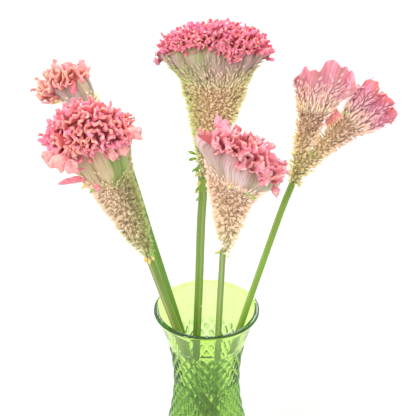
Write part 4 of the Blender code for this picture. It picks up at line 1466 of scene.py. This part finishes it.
# By head: kind; sideways, along and backward of the root; direction in degrees; length, width
SCRAPS = {
    "back": [
        ("leaf", (-3.5, 30.0, -6.5), 250, 9.0, 3.6), ("leaf", (-4.5, 26.0, -6.0), 205, 7.0, 3.4),
        ("leaf", (-7.0, 41.0, -8.0), 150, 8.0, 3.6), ("leaf", (-6.0, 37.0, -8.0), 185, 8.0, 3.4),
        ("bud", (-3.6, 20.0, -5.0), 215, 5.0, 3.6), ("bud", (-3.0, 12.0, -4.6), 250, 6.0, 3.6),
        ("leaf", (-2.8, 6.0, -4.4), 230, 7.0, 3.2), ("bud", (-3.4, 1.0, -3.8), 200, 5.0, 3.4),
        ("leaf", (-3.0, -6.0, -3.6), 220, 5.0, 3.0), ("bud", (3.2, 15.0, -4.8), 320, 4.0, 3.2),
        ("bud", (-1.0, 24.0, -7.5), 100, 4.6, 3.4), ("leaf", (-4.0, 46.0, -10.5), 120, 6.0, 3.0)],
    "front": [
        ("bud", (-3.0, 1.5, -3.0), 165, 5.6, 4.8), ("bud", (3.2, 2.5, -3.0), 10, 5.0, 3.8),
        ("bud", (2.6, -2.0, -2.8), 330, 3.6, 3.0), ("bud", (4.6, 85.0, -18.5), 80, 5.0, 3.6),
        ("leaf", (24.0, 73.0, -16.0), 20, 6.0, 3.0), ("leaf", (19.0, 76.0, -17.0), 45, 6.0, 2.8)],
    "left": [
        ("straw", (-2.6, 4.0, -3.6), 260, 6.0, 3.8), ("straw", (2.4, 7.0, -4.4), 290, 6.0, 3.8),
        ("straw", (0.6, 2.0, -4.2), 270, 5.6, 3.6), ("leaf", (1.5, 14.0, -6.0), 300, 7.0, 3.0),
        ("straw", (-50.5, 103.0, -11.0), 215, 6.0, 3.4), ("leaf", (-45.0, 101.0, -13.0), 240, 6.0, 2.8),
        ("petal", (-51.0, 110.0, -12.0), 170, 25.0, 8.0), ("petal", (-43.0, 110.0, -15.0), 295, 10.0, 6.0),
        ("lobe", (-73.0, 144.0, -13.0), 216, 15.0, 14.0), ("lobe", (-66.0, 143.0, -17.0), 234, 17.0, 18.0),
        ("lobe", (-59.0, 140.0, -20.0), 250, 13.0, 15.0), ("lobe", (-28.0, 152.0, -16.0), 280, 14.0, 10.0),
        ("lobe", (-21.0, 154.0, -13.0), 296, 14.0, 11.0), ("lobe", (-16.0, 159.0, -6.0), 6, 17.0, 14.0)],
    "far_left": [
        ("petal", (-31.0, 54.0, -9.0), 275, 13.0, 7.0), ("straw", (-40.0, 34.0, -6.0), 200, 11.0, 2.6),
        ("bud", (-24.0, 20.0, -6.0), 230, 8.0, 2.4), ("bud", (-17.0, 17.0, -7.0), 245, 7.0, 2.4)],
    "right": [
        ("lobe", (29.0, 55.0, 4.0), 46, 19.0, 15.0), ("leaf", (14.0, 30.0, -8.5), 70, 5.0, 2.8),
        ("leaf", (42.0, 70.0, -4.0), 20, 5.0, 2.6), ("bud", (4.0, 2.0, -5.0), 300, 5.0, 4.0)],
}
# Half width along a leaf and along a petal or lobe, as a share of its width
LEAF_RISE = (0.0, 0.16, 0.4, 0.66, 0.86, 1.0)
LEAF_HALF = (0.16, 0.34, 0.5, 0.44, 0.26, 0.08)
PETAL_HALF = (0.2, 0.3, 0.4, 0.48, 0.5, 0.36)
LEAF_SIDES = 24
LEAF_ROWS = 13
LOBE_RUFFLE = 0.07
# Nubs on the stalks: stalk, height, direction round it in degrees, length, width
NUBS = [
    ("left", 223.0, 200, 3.6, 3.4), ("back", 224.0, 330, 2.8, 2.8), ("front", 216.0, 350, 4.0, 3.4),
    ("back", 320.0, 10, 2.4, 2.4), ("back", 306.0, 190, 2.0, 2.2), ("right", 216.0, 20, 3.0, 3.0),
]


mottled, given, put_out = effect("mottled_tissue", {"Vector": ["Place"], "Color": ["Dark", "Light"]},
                                 {"Color": ["Colour"], "Float": ["Height"]})
mottle = noise(mottled, given["Place"], 420.0, 2.0)
feed(mottled, put_out, {"Colour": steps_of(mottled, mottle, given["Dark"], (0.35, 0.62, given["Light"])),
                        "Height": noise(mottled, given["Place"], 1500.0, 2.0)})


def scrap_material(kind):
    """Fresh tissue in two shades, mottled and finely veined."""
    material, tree, surface = blank_material("scrap_" + kind)
    dark, light = SCRAP_COLOURS[kind]
    look = placed(tree, mottled, {"Place": object_place(tree), "Dark": dark, "Light": light})
    bumpy(tree, surface, look["Height"], 0.3, 0.0003)
    feed(tree, surface, {"Base Color": look["Colour"], "Roughness": 0.5}
         | translucent(0.3, (0.8, 0.8, 0.3), 0.002))
    return material


def leaf_bit(root, way, across, length, width, bend, ruffle=0.0):
    """Closed, hollowed leaf or petal from its root; a ruffle waves it and notches its end."""
    up = np.cross(way, across)
    turn = full_turn(LEAF_SIDES)
    thick = min(0.14 * width, 1.0)
    rings = []
    for rise in np.linspace(0.0, 1.0, LEAF_ROWS):
        half = np.interp(rise, LEAF_RISE, PETAL_HALF if ruffle else LEAF_HALF)
        side = np.cos(turn) * half * width * (1 + 0.12 * math.sin(9 * rise + length))
        wave = np.sin(9 * side / width + 4 * rise + length)
        lift = np.sin(turn) * thick * (1 - 0.6 * rise) + 0.9 * (side / width) ** 2 * width + bend * rise ** 2
        lift = lift + ruffle * width * rise * wave
        out = length * rise * (1 - ruffle * rise ** 3 * (1 + wave))
        rings.append(root + way * out[:, None] + across * side[:, None] + up * lift[:, None])
    return skin(np.array(rings))


scrap_skins = {kind: scrap_material(kind) for kind in SCRAP_COLOURS}
scrap_number = 0
for head, scraps in SCRAPS.items():
    base, sideways, rising, backward = head_frame(head)
    for kind, place, direction, length, width in scraps:
        root = base + sideways * place[0] + rising * place[1] + backward * place[2]
        angle = math.radians(direction)
        way = unit(sideways * math.cos(angle) + rising * math.sin(angle) - backward * 0.35)
        across = unit(np.cross(way, -backward) + 0.3 * math.sin(5 * scrap_number) * backward)
        across = unit(across - way * across.dot(way))
        bend = 0.12 * length * math.sin(3 * scrap_number + 1)
        points, faces = leaf_bit(root, way, across, length, width, bend,
                                 LOBE_RUFFLE if kind == "lobe" else 0.0)
        bit = solid(f"scrap_{head}_{scrap_number:02d}", points, faces, scrap_skins[kind])
        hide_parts("florets_" + head)
        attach(bit, "root")
        scrap_number += 1
for nub_number, (name, height, direction, length, width) in enumerate(NUBS):
    path = stem_paths[name]
    middle = np.array([np.interp(height, path[:, 2], path[:, axis]) for axis in range(3)])
    angle = math.radians(direction)
    way = unit(np.array((math.cos(angle), math.sin(angle) - 0.6, 0.45)))
    across = unit(np.cross(way, (0.0, 0.0, 1.0)))
    root = middle + way * (STEMS[name][0] * 0.75)
    points, faces = leaf_bit(root, way, across, length, width, 0.0)
    nub = solid(f"nub_{name}_{nub_number:02d}", points, faces, scrap_skins["blush"])
    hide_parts("stem_" + name)
    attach(nub, "root")

# The single florets and the single frill only served to be copied.
for helper in (open_floret, closed_floret, frill_shape):
    bpy.data.objects.remove(helper, do_unlink=True)
